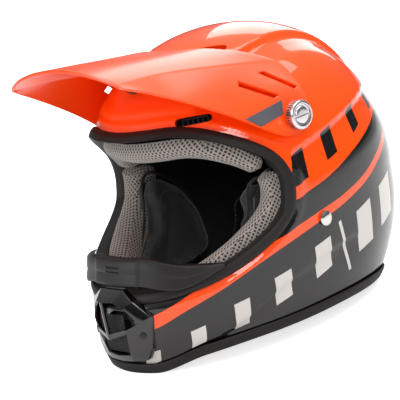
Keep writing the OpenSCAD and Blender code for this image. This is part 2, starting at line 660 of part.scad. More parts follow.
module visor_screw_left() {
    visor_screw(true);
}
module visor_screw_right() {
    visor_screw(false);
}
centre_head_d = 11;
module visor_screw_centre() {
    color("#3a3a3e") at_tab_screw() difference() {
        union() {
            translate([0, 0, 0.3]) cylinder(d = centre_head_d, h = 2.2);
            translate([0, 0, -20]) cylinder(d = shaft_d - 1, h = 20.5);
        }
        translate([-4, -0.75, 1.5]) cube([8, 1.5, 3]);
    }
}
// Threaded brass insert in the shell: its outer end carries the screw's shoulder
module insert(bore_d, depth) {
    color("goldenrod") difference() {
        translate([0, 0, -depth]) cylinder(d = insert_d, h = depth);
        translate([0, 0, -depth - 1]) cylinder(d = bore_d, h = depth + 2);
    }
}
module visor_insert_left() {
    at_pivot(true) translate([0, 0, -0.1]) insert(shaft_d + 2 * turn_gap, 13);
}
module visor_insert_right() {
    at_pivot(false) translate([0, 0, -0.1]) insert(shaft_d + 2 * turn_gap, 13);
}
module visor_insert_centre() {
    bore = shaft_d - 1 + 2 * turn_gap;
    color("goldenrod") at_tab_screw() translate([0, 0, -tab_t - 10.4]) difference() {
        translate([0, 0, -10]) cylinder(d = insert_d, h = 12);
        translate([0, 0, -11]) cylinder(d = bore, h = 14);
    }
}
module visor_spacer_centre() {
    bore = shaft_d - 1 + 2 * turn_gap;
    color("#2a2a2e") at_tab_screw() translate([0, 0, -tab_t - 7.8]) difference() {
        cylinder(d = insert_d + 4, h = 7);
        translate([0, 0, -1]) cylinder(d = bore, h = 9);
    }
}

// ---- Chin strap ----
hanger_t = 1.6;
hanger_drop = 44;
hanger_x = rivet_x - shell_wall - 3.8;
loop_z = rivet_z - hanger_drop;
hanger_foot_x = side_x(strap_y, loop_z, shell_wall + 6);
module strap_rivet(left) {
    color("silver") at_rivet(left) {
        translate([0, 0, 0.6]) cylinder(d = rivet_d, h = 1.2);
        translate([0, 0, 1.5]) cylinder(d1 = rivet_d - 1, d2 = rivet_d - 5, h = 1.2, $fn = 48);
        translate([0, 0, -shell_wall - 6]) cylinder(d = shaft_d, h = shell_wall + 7);
    }
}
module strap_rivet_left() {
    strap_rivet(true);
}
module strap_rivet_right() {
    strap_rivet(false);
}
// Steel hanger: hangs on the rivet inside the shell, and the webbing is sewn round its lower bar
module strap_hanger(left) {
    leg = 3;
    top = 9;
    lean = atan2(hanger_x - hanger_foot_x, hanger_drop);
    color("silver") mirrored(left) translate([hanger_x, strap_y, rivet_z]) rotate([0, lean,
        0]) difference() {
        translate([-hanger_t, -hanger_w / 2, -hanger_drop]) cube([hanger_t, hanger_w, hanger_drop + top]);
        translate([-hanger_t - 1, -hanger_w / 2 + leg, -hanger_drop + leg]) cube([hanger_t + 2,
            hanger_w - 2 * leg, 6]);
        rotate([0, -90, 0]) translate([0, 0, -1]) cylinder(d = shaft_d + 0.8, h = hanger_t + 3);
    }
}
module strap_hanger_left() {
    strap_hanger(true);
}
module strap_hanger_right() {
    strap_hanger(false);
}
// The buckled strap hangs in one curve between the hangers' bars
swing_z = loop_z + 3;
strap_end_x = hanger_foot_x - 2;
strap_low_z = 10;
strap_share = [[0, 0], [0.45, 0.06], [0.75, 0.28], [0.9, 0.55], [1, 1]];
function strap_mid(u) = [strap_end_x * u, strap_y,
    strap_low_z + (swing_z - 6 - strap_low_z) * through(strap_share, abs(u))];
function strap_rings(u0, u1, steps, lift, width, t) = [for (i = [0:steps])
    let (u = u0 + (u1 - u0) * i / steps, e = 0.01, d = unit(strap_mid(min(1, u + e)) - strap_mid(u - e)),
        n = [-d[2], 0, d[0]],
         p = strap_mid(u) + lift * n)
    [p + [0, -width / 2, 0], p + [0, width / 2, 0], p + [0, width / 2, 0] + t * n, p + [0, -width / 2,
        0] + t * n]];
ring_u = 0.30;
module chin_strap_left() {
    color("#1a1a1c") skin(strap_rings(ring_u + 0.05, 1, 20, 0, web_w, web_t));
}
module chin_strap_right() {
    color("#1a1a1c") mirror([1, 0, 0]) skin(strap_rings(-ring_u + 0.06, 1, 28, 0, web_w, web_t));
}
sleeve_t = 3.5;
module strap_sleeve(left) {
    from = left ? 0.50 : 0.10;
    color("#2c2c30") mirrored(left) skin(strap_rings(from, 0.76, 12, web_t + 0.4, web_w + 8, sleeve_t));
}
module strap_sleeve_left() {
    strap_sleeve(true);
}
module strap_sleeve_right() {
    strap_sleeve(false);
}
// D-shaped rings that the webbing is threaded through, lying flat under it
module d_ring(u) {
    wire = 2.6;
    p = strap_mid(u);
    d = strap_mid(u + 0.01) - strap_mid(u - 0.01);
    color("silver") translate(p + [0, 0, -wire / 2 - 0.4]) rotate([0, -atan2(d[2], d[0]), 0]) {
        difference() {
            linear_extrude(wire, center = true) difference() {
                union() {
                    translate([-4, -web_w / 2 - wire - 0.5]) square([6, web_w + 2 * wire + 1]);
                    intersection() {
                        translate([2, 0]) scale([0.5, 1]) circle(d = web_w + 2 * wire + 1);
                        translate([0, -web_w]) square([web_w, 2 * web_w]);
                    }
                }
                translate([-4 + wire, -web_w / 2 - 0.5]) square([4, web_w + 1]);
                intersection() {
                    translate([2, 0]) scale([0.4, 1]) circle(d = web_w + 1);
                    translate([1.9, -web_w]) square([web_w, 2 * web_w]);
                }
            }
        }
    }
}
module d_ring_outer() {
    d_ring(ring_u);
}
module d_ring_inner() {
    translate([-4, 0, -3.1]) d_ring(ring_u);
}
module strap_snap() {
    p = strap_mid(-0.2);
    color("#2a2a2e") translate([p[0], p[1], p[2] - 2.6]) {
        cylinder(d = 12, h = 1.6);
        translate([0, 0, -1.2]) cylinder(d = 8, h = 1.2);
    }
}

outer_shell();
eps_liner();
chin_bar_foam();
eye_port_trim();
neck_trim();
brow_pad();
crown_pad();
nape_pad();
cheek_pad_left();
cheek_pad_right();
cheek_plate_left();
cheek_plate_right();
cheek_snaps();
nose_guard();
mouthpiece();
mouthpiece_mesh();
mouthpiece_screws();
forehead_grille_left();
forehead_grille_right();
exhaust_grille_left();
exhaust_grille_right();
visor();
visor_bush_left();
visor_bush_right();
visor_screw_left();
visor_screw_right();
visor_screw_centre();
visor_insert_left();
visor_insert_right();
visor_insert_centre();
visor_spacer_centre();
strap_rivet_left();
strap_rivet_right();
strap_hanger_left();
strap_hanger_right();
chin_strap_left();
chin_strap_right();
strap_sleeve_left();
strap_sleeve_right();
d_ring_outer();
d_ring_inner();
strap_snap();
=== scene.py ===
"""Off-road helmet: the visible model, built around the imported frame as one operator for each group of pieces."""

import math

import bmesh
import bpy
import numpy as np
from bpy.props import FloatProperty, FloatVectorProperty, IntProperty, PointerProperty
from mathutils import Matrix, Vector


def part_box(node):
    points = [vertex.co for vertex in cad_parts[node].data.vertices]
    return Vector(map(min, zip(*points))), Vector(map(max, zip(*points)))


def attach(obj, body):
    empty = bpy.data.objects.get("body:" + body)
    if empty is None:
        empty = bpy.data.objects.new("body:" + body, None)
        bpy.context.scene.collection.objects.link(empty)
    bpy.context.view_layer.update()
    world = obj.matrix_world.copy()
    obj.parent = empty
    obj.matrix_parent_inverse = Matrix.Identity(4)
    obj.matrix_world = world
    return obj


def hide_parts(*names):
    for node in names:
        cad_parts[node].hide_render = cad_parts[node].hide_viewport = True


bl_info = {
    "name": "Off-road helmet",
    "version": (1, 0, 0),
    "blender": (4, 5, 0),
    "location": "View3D > Sidebar > Helmet",
    "description": "Builds an off-road helmet with its visor, trims, padding, hardware and studio",
    "category": "Mesh",
}

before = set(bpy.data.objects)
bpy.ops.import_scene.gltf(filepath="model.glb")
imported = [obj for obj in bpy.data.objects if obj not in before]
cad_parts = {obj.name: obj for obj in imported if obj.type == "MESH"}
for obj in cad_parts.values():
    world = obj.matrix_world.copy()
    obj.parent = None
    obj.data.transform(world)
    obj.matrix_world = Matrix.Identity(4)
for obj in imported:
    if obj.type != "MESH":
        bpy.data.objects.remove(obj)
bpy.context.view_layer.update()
MM = 0.001


# ---- The shell's form, in millimetres: level outlines that are superellipses, with a dome above the widest ----
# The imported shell's corners fall 0.3% inside the true curve
SHELL_LOW, SHELL_HIGH = (np.array(corner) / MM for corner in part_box("outer_shell"))
CORNER_LOSS = 1.003
HALF_W = SHELL_HIGH[0] * CORNER_LOSS
HALF_L = SHELL_HIGH[1] * CORNER_LOSS
HEIGHT = SHELL_HIGH[2]
LENGTH = 2 * HALF_L
DOME_FROM = 0.436
CENTRE_Y = 0.164
WALL = 4
GAP = 1
WIDTH_AT = [(0, 0.856), (0.104, 0.924), (0.207, 0.966), (0.311, 0.987), (DOME_FROM, 1)]
FRONT_AT = [(0, 0.90), (0.104, 0.915), (0.207, 0.895), (0.311, 0.825), (DOME_FROM, 0.77)]
BACK_AT = [(0, 0.717), (0.104, 0.855), (0.207, 0.941), (0.311, 0.987), (DOME_FROM, 1)]
FRONT_POWER = [(0, 2), (0.311, 2.05), (DOME_FROM, 2.1)]
BACK_POWER = [(0, 2.2), (0.207, 2.3), (DOME_FROM, 2.25)]


def through(stations, value):
    """Smooth curve through (place, value) stations, without overshoot."""
    x, y = np.array(stations, float).T
    slope = np.diff(y) / np.diff(x)
    product = slope[:-1] * slope[1:]
    inner = np.where(product > 0, 2 * product / np.where(product > 0, slope[:-1] + slope[1:], 1), 0)
    tangent = np.concatenate([slope[:1], inner, slope[-1:]])
    i = np.clip(np.searchsorted(x, value, side="right") - 1, 0, len(x) - 2)
    span = x[i + 1] - x[i]
    t = np.clip((value - x[i]) / span, 0, 1)
    return ((2 * t**3 - 3 * t**2 + 1) * y[i] + (t**3 - 2 * t**2 + t) * span * tangent[i]
            + (3 * t**2 - 2 * t**3) * y[i + 1] + (t**3 - t**2) * span * tangent[i + 1])


def level_y(z):
    return HALF_L * CENTRE_Y * np.clip(z / HEIGHT / DOME_FROM, 0, 1)


def dome(z, inset, power):
    start = DOME_FROM * HEIGHT
    share = np.clip((z - start) / (HEIGHT - inset - start), 0, 1)
    return (1 - share**power) ** (1 / power)


def form_at(z, front, inset):
    """Outline power, half width and reach of the form at height z."""
    t = np.clip(z / HEIGHT, 0, DOME_FROM)
    power = np.where(front, through(FRONT_POWER, t), through(BACK_POWER, t))
    reach = np.where(front, HALF_L * through(FRONT_AT, t) + level_y(z), HALF_L * through(BACK_AT, t) - level_y(z))
    width = (HALF_W * through(WIDTH_AT, t) - inset) * dome(z, inset, 2.25)
    depth = (reach - inset) * np.where(front, dome(z, inset, 2), dome(z, inset, 2.15))
    return power, width, depth


def skin_point(angle, z, inset=0.0):
    """Points of the form at angles round the head (0 = front, 90 = left side) and heights, moved in by inset."""
    angle, z = np.broadcast_arrays(np.radians(np.asarray(angle, float)), np.asarray(z, float))
    sine, cosine = np.sin(angle), np.cos(angle)
    power, width, depth = form_at(z, cosine >= 0, inset)
    x = width * np.sign(sine) * np.abs(sine) ** (2 / power)
    y = level_y(z) - depth * np.sign(cosine) * np.abs(cosine) ** (2 / power)
    return np.stack([x, y, z], axis=-1)


def side_x(y, z, inset=0.0):
    """Half width of the form where a line across the head at (y, z) meets it."""
    y, z = np.asarray(y, float), np.asarray(z, float)
    power, width, depth = form_at(z, y < level_y(z), inset)
    share = np.clip(np.abs(y - level_y(z)) / np.maximum(depth, 1), 0, 1)
    return width * (1 - share**power) ** (1 / power)


def unit(vectors):
    vectors = np.asarray(vectors, float)
    return vectors / np.maximum(np.linalg.norm(vectors, axis=-1, keepdims=True), 1e-9)


def outward(angle, z):
    step = 0.5
    across = skin_point(angle + step, z) - skin_point(angle - step, z)
    up = skin_point(angle, z + step) - skin_point(angle, z - step)
    return unit(np.cross(across, up))


def smooth(value, start, end):
    """Rises smoothly from 0 at start to 1 at end."""
    t = np.clip((value - start) / (end - start), 0, 1)
    return t * t * (3 - 2 * t)


PORT_HALF = [(0, 0.766), (16, 0.768), (30, 0.766), (42, 0.747), (53, 0.71), (62, 0.664), (68.5, 0.61), (71.5, 0.54),
             (70.5, 0.465), (67, 0.411), (60, 0.365), (46, 0.311), (25, 0.274), (0, 0.266)]
PORT_CORNERS = np.array(PORT_HALF + [(-a, z) for a, z in PORT_HALF[-2:0:-1]], float)


def port_outline(count):
    """The eye port's smooth outline as (angle, height) rows."""
    u = len(PORT_CORNERS) * (np.arange(count) + 0.5) / count
    i = np.floor(u).astype(int)
    f = (u - i)[:, None]
    a, b, c, d = (PORT_CORNERS[(i + k) % len(PORT_CORNERS)] for k in (-1, 0, 1, 2))
    points = 0.5 * (2 * b + f * (c - a) + f**2 * (2 * a - 5 * b + 4 * c - d) + f**3 * (3 * b - a - 3 * c + d))
    return points * [1, HEIGHT]


EDGE_AT = [(0, 0), (16, 0), (40, 1), (60, 1.25), (85, 1.2), (120, 0.75), (150, 0), (180, 0)]
EDGE_RISE = 10
BEAD_H = 5


def edge_z(angle):
    """Height of the shell's lower edge at an angle round the head."""
    folded = np.abs((np.asarray(angle, float) + 180) % 360 - 180)
    return BEAD_H + EDGE_RISE * through(EDGE_AT, folded)


PIVOT_Y = 0.013 * LENGTH
PIVOT_Z = 0.722 * HEIGHT
RIVET_Y = 0.01 * LENGTH
RIVET_Z = 0.363 * HEIGHT


# ---- Meshes and pieces ----
def loft_faces(rows, columns, ring=True, loop=False):
    """Quads of a grid of points; ring joins the ends of each row, loop joins the last row to the first."""
    faces = []
    for j in range(rows if loop else rows - 1):
        for i in range(columns if ring else columns - 1):
            k, m = (i + 1) % columns, (j + 1) % rows
            faces.append((j * columns + i, j * columns + k, m * columns + k, m * columns + i))
    return faces


def closed_loft(rows):
    """Points and faces of a solid between rings of points, whose ends close on their middles."""
    rows = np.asarray(rows, float)
    count, columns = rows.shape[:2]
    points = np.concatenate([rows.reshape(-1, 3), rows[:1].mean(axis=1), rows[-1:].mean(axis=1)])
    faces = loft_faces(count, columns)
    last = (count - 1) * columns
    for i in range(columns):
        k = (i + 1) % columns
        faces += [(k, i, count * columns), (last + i, last + k, count * columns + 1)]
    return points, faces


def turned(profile, count=64):
    """Points and faces of a body turned about +Z from a (radius, height) profile that ends on the axis."""
    angles = np.linspace(0, 2 * math.pi, count, endpoint=False)
    rows = [[(r * math.cos(a), r * math.sin(a), h) for a in angles] for r, h in profile]
    return closed_loft(rows)


def face_outwards(mesh):
    """Merges doubles and turns the faces of closed parts outwards."""
    work = bmesh.new()
    work.from_mesh(mesh)
    bmesh.ops.remove_doubles(work, verts=work.verts, dist=1e-6)
    bmesh.ops.recalc_face_normals(work, faces=work.faces)
    work.to_mesh(mesh)
    work.free()
    mesh.update()


def make_piece(name, points, faces, finish, sharp=35):
    """A new object from points in millimetres, with smooth shading except over edges sharper than sharp."""
    mesh = bpy.data.meshes.new(name)
    mesh.from_pydata((np.asarray(points, float) * MM).tolist(), [], [tuple(map(int, face)) for face in faces])
    face_outwards(mesh)
    piece = bpy.data.objects.new(name, mesh)
    bpy.context.scene.collection.objects.link(piece)
    mesh.materials.append(finish)
    mesh.shade_smooth()
    mesh.set_sharp_from_angle(angle=math.radians(sharp))
    return piece


def settle(piece, sharp=None):
    """Makes the result of a piece's modifiers its plain mesh."""
    bpy.context.view_layer.update()
    graph = bpy.context.evaluated_depsgraph_get()
    mesh = bpy.data.meshes.new_from_object(piece.evaluated_get(graph))
    piece.modifiers.clear()
    piece.data = mesh
    if sharp is not None:
        mesh.shade_smooth()
        mesh.set_sharp_from_angle(angle=math.radians(sharp))
    return piece


def round_edges(piece, width, angle=30, segments=2):
    """Rounds the edges that are sharper than angle, as a moulded or turned part's are."""
    bevel = piece.modifiers.new("rounded edges", "BEVEL")
    bevel.width = width * MM
    bevel.segments = segments
    bevel.limit_method = "ANGLE"
    bevel.angle_limit = math.radians(angle)
    bevel.harden_normals = False
    return piece


def cut_away(piece, points, faces):
    """Cuts closed shapes out of a piece."""
    tool = make_piece("tool", points, faces, piece.data.materials[0])
    cut = piece.modifiers.new("cut", "BOOLEAN")
    cut.operation = "DIFFERENCE"
    cut.solver = "EXACT"
    cut.object = tool
    settle(piece)
    bpy.data.objects.remove(tool)
    return piece


def joined(parts):
    """Points and faces of several (points, faces) parts as one."""
    points, faces, base = [], [], 0
    for part_points, part_faces in parts:
        points.append(np.asarray(part_points, float))
        faces += [tuple(base + v for v in face) for face in part_faces]
        base += len(part_points)
    return np.concatenate(points), faces


def mirrored(part):
    points, faces = part
    return np.asarray(points, float) * [-1, 1, 1], [tuple(reversed(face)) for face in faces]


def both_sides(part):
    return joined([part, mirrored(part)])


def placed(part, origin, direction):
    """A part made along +Z, set at origin and pointing along direction."""
    points, faces = part
    turn = np.array(Vector(direction).to_track_quat("Z", "Y").to_matrix())
    return np.asarray(points, float) @ turn.T + np.asarray(origin, float), faces


def hand_over(piece, body, slot, *nodes):
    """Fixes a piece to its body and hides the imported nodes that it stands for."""
    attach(piece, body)
    if nodes:
        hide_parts(*nodes)


# ---- Materials ----
def linear(colour):
    """The linear colour of an sRGB hex such as #f05a1e."""
    values = [int(colour[i:i + 2], 16) / 255 for i in (1, 3, 5)]
    return tuple(v / 12.92 if v <= 0.04045 else ((v + 0.055) / 1.055) ** 2.4 for v in values) + (1.0,)


def add(tree, kind, inputs=None, **settings):
    """Adds a node with its settings; inputs maps a socket to a value, to a node or to another node's socket."""
    node = tree.nodes.new(kind)
    for key, value in settings.items():
        setattr(node, key, value)
    for key, value in (inputs or {}).items():
        if isinstance(value, bpy.types.Node):
            value = value.outputs[0]
        if isinstance(value, bpy.types.NodeSocket):
            tree.links.new(value, node.inputs[key])
        else:
            node.inputs[key].default_value = value
    return node


def start_material(name, roughness=0.5, metallic=0.0, **sockets):
    material = bpy.data.materials.new(name)
    material.use_nodes = True
    tree = material.node_tree
    shader = tree.nodes["Principled BSDF"]
    shader.inputs["Roughness"].default_value = roughness
    shader.inputs["Metallic"].default_value = metallic
    for key, value in sockets.items():
        label = key.replace("_", " ").title().replace("Ior", "IOR")
        shader.inputs[label].default_value = value
    return material, tree, shader


def place_in_mm(tree):
    """Object coordinates in millimetres."""
    place = add(tree, "ShaderNodeTexCoord")
    return add(tree, "ShaderNodeVectorMath", {0: place.outputs["Object"], 1: (1 / MM,) * 3}, operation="MULTIPLY")


def bumped(tree, shader, height, depth_mm, name="Normal"):
    """Raises a height pattern of 0 to 1 by depth_mm on the shader."""
    bump = add(tree, "ShaderNodeBump", {"Height": height, "Distance": depth_mm * MM, "Strength": 1.0})
    tree.links.new(bump.outputs[0], shader.inputs[name])


def grain(tree, spacing_mm, detail=3.0, place=None):
    """Noise whose features are about spacing_mm across."""
    place = place or place_in_mm(tree)
    return add(tree, "ShaderNodeTexNoise", {"Vector": place, "Scale": 1 / spacing_mm, "Detail": detail})


def two_tone(tree, shader, pattern, first, second):
    """Base colour that runs between two hexes by a 0 to 1 pattern."""
    ramp = add(tree, "ShaderNodeMix", {"Factor": pattern, 6: linear(first), 7: linear(second)}, data_type="RGBA")
    tree.links.new(ramp.outputs[2], shader.inputs["Base Color"])


def moulded(name, light, dark, roughness, grain_mm, depth_mm, **sockets):
    """Moulded plastic or rubber: fine spark-eroded grain, slightly uneven in tone and gloss."""
    material, tree, shader = start_material(name, roughness, **sockets)
    place = place_in_mm(tree)
    fine = grain(tree, grain_mm, 2.0, place)
    broad = grain(tree, 40, 2.0, place)
    two_tone(tree, shader, broad.outputs[0], dark, light)
    gloss = add(tree, "ShaderNodeMapRange", {"Value": broad.outputs[0], "From Min": 0.3, "From Max": 0.7,
                                             "To Min": roughness * 0.9, "To Max": min(1, roughness * 1.12)})
    tree.links.new(gloss.outputs[0], shader.inputs["Roughness"])
    bumped(tree, shader, fine.outputs[0], depth_mm)
    return material


def visor_plastic():
    """Injection-moulded polypropylene, in solid orange: a soft satin sheen that lightens the top."""
    colours = bpy.context.scene.helmet_colours
    material, tree, shader = start_material("injection_moulded_polypropylene_orange", 0.32, ior=1.49,
                                            specular_ior_level=0.5, coat_weight=0.35, coat_roughness=0.18)
    fine = grain(tree, 0.9)
    mottled = add(tree, "ShaderNodeMix", {"Factor": fine.outputs[0], 6: tuple(colours.orange) + (1,),
                                          7: tuple(c * 0.93 for c in colours.orange) + (1,)}, data_type="RGBA")
    tree.links.new(mottled.outputs[2], shader.inputs["Base Color"])
    bumped(tree, shader, fine.outputs[0], 0.02)
    return material


def trim_rubber():
    """Extruded EPDM rubber: black, matte, with a faint bloom."""
    return moulded("extruded_epdm_rubber", "#181312", "#100d0d", 0.55, 0.7, 0.03, ior=1.5,
                    specular_ior_level=0.3)


def guard_rubber():
    """Soft moulded thermoplastic elastomer: charcoal, matte and lightly grained."""
    return moulded("moulded_soft_elastomer", "#1d1a19", "#141212", 0.5, 0.8, 0.05, ior=1.5,
                    specular_ior_level=0.35)


def black_plastic():
    """Glass-filled nylon: black with a dull satin skin."""
    return moulded("glass_filled_nylon", "#232122", "#161515", 0.45, 0.6, 0.03, ior=1.53)


def gloss_black():
    """Polished black ABS: a mirror skin with a slight ripple."""
    return moulded("polished_black_abs", "#0b090a", "#070606", 0.07, 18, 0.05, ior=1.54, coat_weight=0.4,
                   coat_roughness=0.03)


def dark_steel():
    """Zinc-plated steel, blackened: dark metal with fine wear."""
    material, tree, shader = start_material("blackened_zinc_steel", 0.38, 1.0)
    worn = grain(tree, 1.5)
    two_tone(tree, shader, worn.outputs[0], "#2b2b2e", "#4b4a4c")
    bumped(tree, shader, worn.outputs[0], 0.02)
    return material


def metal(name, light, dark, roughness, stretch):
    """Machined metal: fine tool lines, stretched across the work."""
    material, tree, shader = start_material(name, roughness, 1.0)
    lines = add(tree, "ShaderNodeVectorMath", {0: place_in_mm(tree), 1: stretch}, operation="MULTIPLY")
    pattern = add(tree, "ShaderNodeTexNoise", {"Vector": lines, "Scale": 1.0, "Detail": 4.0})
    two_tone(tree, shader, pattern.outputs[0], dark, light)
    bumped(tree, shader, pattern.outputs[0], 0.015)
    return material


def screw_aluminium():
    """Turned and clear-anodised aluminium: silver with fine rings of tool marks."""
    return metal("turned_anodised_aluminium", "#dcd8da", "#b8b2b5", 0.24, (0.3, 2.0, 2.0))


def polished_steel():
    """Polished stainless steel: bright, with faint buffing lines."""
    return metal("polished_stainless_steel", "#d9d7d4", "#b9b6b2", 0.16, (1.5, 0.2, 1.5))


def insert_brass():
    """Machined brass: warm yellow with lathe lines."""
    return metal("machined_brass", "#d8b25f", "#b58a3c", 0.3, (2.5, 0.3, 0.3))


def impact_foam():
    """Expanded polystyrene, dyed black: fused beads about 3 mm across, with the grooves between them painted darker as
    shade.
    """
    material, tree, shader = start_material("expanded_polystyrene_black", 0.75)
    beads = add(tree, "ShaderNodeTexVoronoi", {"Vector": place_in_mm(tree), "Scale": 1 / 3.0},
                feature="DISTANCE_TO_EDGE")
    edges = add(tree, "ShaderNodeMapRange", {"Value": beads.outputs[0], "From Max": 0.18})
    # Painted shade: the grooves between beads are coloured darker than the bead faces
    two_tone(tree, shader, edges.outputs[0], "#060606", "#161517")
    bumped(tree, shader, edges.outputs[0], 0.25)
    return material


def face_plane(tree):
    """Object coordinates in millimetres, laid flat on the axis plane that a surface faces most."""
    texture = add(tree, "ShaderNodeTexCoord")
    spot = add(tree, "ShaderNodeSeparateXYZ", {0: place_in_mm(tree)})
    facing = add(tree, "ShaderNodeVectorMath", {0: texture.outputs["Normal"]}, operation="ABSOLUTE")
    facing = add(tree, "ShaderNodeSeparateXYZ", {0: facing})
    x, y, z = spot.outputs
    flats = [add(tree, "ShaderNodeCombineXYZ", {0: a, 1: b}) for a, b in ((y, z), (x, z), (x, y))]
    most_y = add(tree, "ShaderNodeMath", {0: facing.outputs[1], 1: facing.outputs[2]}, operation="GREATER_THAN")
    y_or_z = add(tree, "ShaderNodeMix", {"Factor": most_y, 4: flats[2], 5: flats[1]}, data_type="VECTOR")
    larger = add(tree, "ShaderNodeMath", {0: facing.outputs[1], 1: facing.outputs[2]}, operation="MAXIMUM")
    most_x = add(tree, "ShaderNodeMath", {0: facing.outputs[0], 1: larger}, operation="GREATER_THAN")
    return add(tree, "ShaderNodeMix", {"Factor": most_x, 4: y_or_z.outputs[1], 5: flats[0]}, data_type="VECTOR")


def spacer_mesh():
    """Knitted polyester spacer mesh: warm grey yarn round staggered open cells, whose insides are painted dark as
    shade.
    """
    cell_w, cell_h = 3.4, 4.4
    material, tree, shader = start_material("knitted_polyester_spacer_mesh", 0.85, sheen_weight=0.3)
    flat = face_plane(tree)
    cells = add(tree, "ShaderNodeVectorMath", {0: flat.outputs[1], 1: (1 / cell_w, 1 / cell_h, 0)},
                operation="MULTIPLY")
    rounds = []
    for shift in (0.0, 0.5):
        moved = add(tree, "ShaderNodeVectorMath", {0: cells, 1: (shift, shift, 0)}, operation="ADD")
        part = add(tree, "ShaderNodeVectorMath", {0: moved}, operation="FRACTION")
        centred = add(tree, "ShaderNodeVectorMath", {0: part, 1: (0.5, 0.5, 0)}, operation="SUBTRACT")
        rounds.append(add(tree, "ShaderNodeVectorMath", {0: centred}, operation="LENGTH"))
    near = add(tree, "ShaderNodeMath", {0: rounds[0].outputs["Value"], 1: rounds[1].outputs["Value"]},
               operation="MINIMUM")
    yarn = add(tree, "ShaderNodeMapRange", {"Value": near, "From Min": 0.17, "From Max": 0.27})
    # Painted shade: the insides of the open cells are coloured near black, the yarn round them warm grey
    two_tone(tree, shader, yarn.outputs[0], "#171413", "#9d938b")
    bumped(tree, shader, yarn.outputs[0], 0.9)
    return material


def liner_cloth():
    """Brushed polyester jersey: black, matte, with a short nap."""
    material, tree, shader = start_material("brushed_polyester_jersey", 0.95, sheen_weight=0.25)
    nap = grain(tree, 1.2, 6.0)
    two_tone(tree, shader, nap.outputs[0], "#0c0c0d", "#262527")
    bumped(tree, shader, nap.outputs[0], 0.4)
    return material


def woven(name, light, dark, pitch_mm, depth_mm):
    """Plain weave on the axis plane that each surface faces: yarns pitch_mm apart, each way over and under, with the
    dips between yarns painted darker as shade.
    """
    material, tree, shader = start_material(name, 0.8, sheen_weight=0.15)
    flat = face_plane(tree)
    turned_way = add(tree, "ShaderNodeVectorMath", {0: flat.outputs[1], 1: (math.pi / pitch_mm,) * 3},
                     operation="MULTIPLY")
    waves = add(tree, "ShaderNodeSeparateXYZ", {0: turned_way})
    across = add(tree, "ShaderNodeMath", {0: waves.outputs[0]}, operation="SINE")
    along = add(tree, "ShaderNodeMath", {0: waves.outputs[1]}, operation="SINE")
    weave = add(tree, "ShaderNodeMath", {0: across, 1: along}, operation="MULTIPLY")
    raised = add(tree, "ShaderNodeMath", {0: weave}, operation="ABSOLUTE")
    # Painted shade: where the yarns dip the colour is darker, and the raised yarn is lighter
    two_tone(tree, shader, raised.outputs[0], dark, light)
    bumped(tree, shader, raised.outputs[0], depth_mm)
    return material


def webbing():
    """Woven polyamide webbing: black, with a rib every 2 mm and painted shade between the ribs."""
    return woven("woven_polyamide_webbing", "#2a292b", "#0b0b0c", 2.0, 0.35)


def sleeve_cloth():
    """Brushed fleece over foam: charcoal, soft, drawn with coarse loops so that they show, with painted shade between
    the loops.
    """
    return woven("brushed_polyester_fleece", "#3b393b", "#1c1b1d", 1.4, 0.25)


def mesh_wire():
    """Woven polyamide monofilament: black wires with a dull shine."""
    return moulded("woven_polyamide_monofilament", "#1c1b1c", "#0f0e0f", 0.4, 1.0, 0.02)


def printed_film():
    """Printed vinyl film: slate grey, satin, with an even edge."""
    return moulded("printed_vinyl_film", "#57575c", "#47474c", 0.35, 1.5, 0.01, ior=1.5)


def height_line(tree, y, stations):
    """Height in millimetres of a painted line at each y, through (y, z) stations."""
    reach, top = 160, 250
    share = add(tree, "ShaderNodeMapRange", {"Value": y, "From Min": -reach, "From Max": reach})
    curve = add(tree, "ShaderNodeFloatCurve", {"Value": share})
    marks = curve.mapping.curves[0].points
    spots = [((a + reach) / (2 * reach), b / top) for a, b in stations]
    marks[0].location, marks[1].location = spots[0], spots[-1]
    for spot in spots[1:-1]:
        marks.new(*spot)
    curve.mapping.update()
    return add(tree, "ShaderNodeMath", {0: curve, 1: float(top)}, operation="MULTIPLY")


def patch(tree, place, corners):
    """1 inside a convex outline of (y, z) corners on either side of the shell, 0 outside."""
    area = sum(a[0] * b[1] - b[0] * a[1] for a, b in zip(corners, corners[1:] + corners[:1]))
    if area < 0:
        corners = corners[::-1]
    least = None
    for (y0, z0), (y1, z1) in zip(corners, corners[1:] + corners[:1]):
        across = (0, z0 - z1, y1 - y0)
        side = add(tree, "ShaderNodeVectorMath", {0: place, 1: across}, operation="DOT_PRODUCT")
        side = add(tree, "ShaderNodeMath", {0: side.outputs["Value"], 1: y0 * across[1] + z0 * across[2]},
                   operation="SUBTRACT")
        least = side if least is None else add(tree, "ShaderNodeMath", {0: least, 1: side}, operation="MINIMUM")
    return add(tree, "ShaderNodeMath", {0: least, 1: 0.0}, operation="GREATER_THAN")


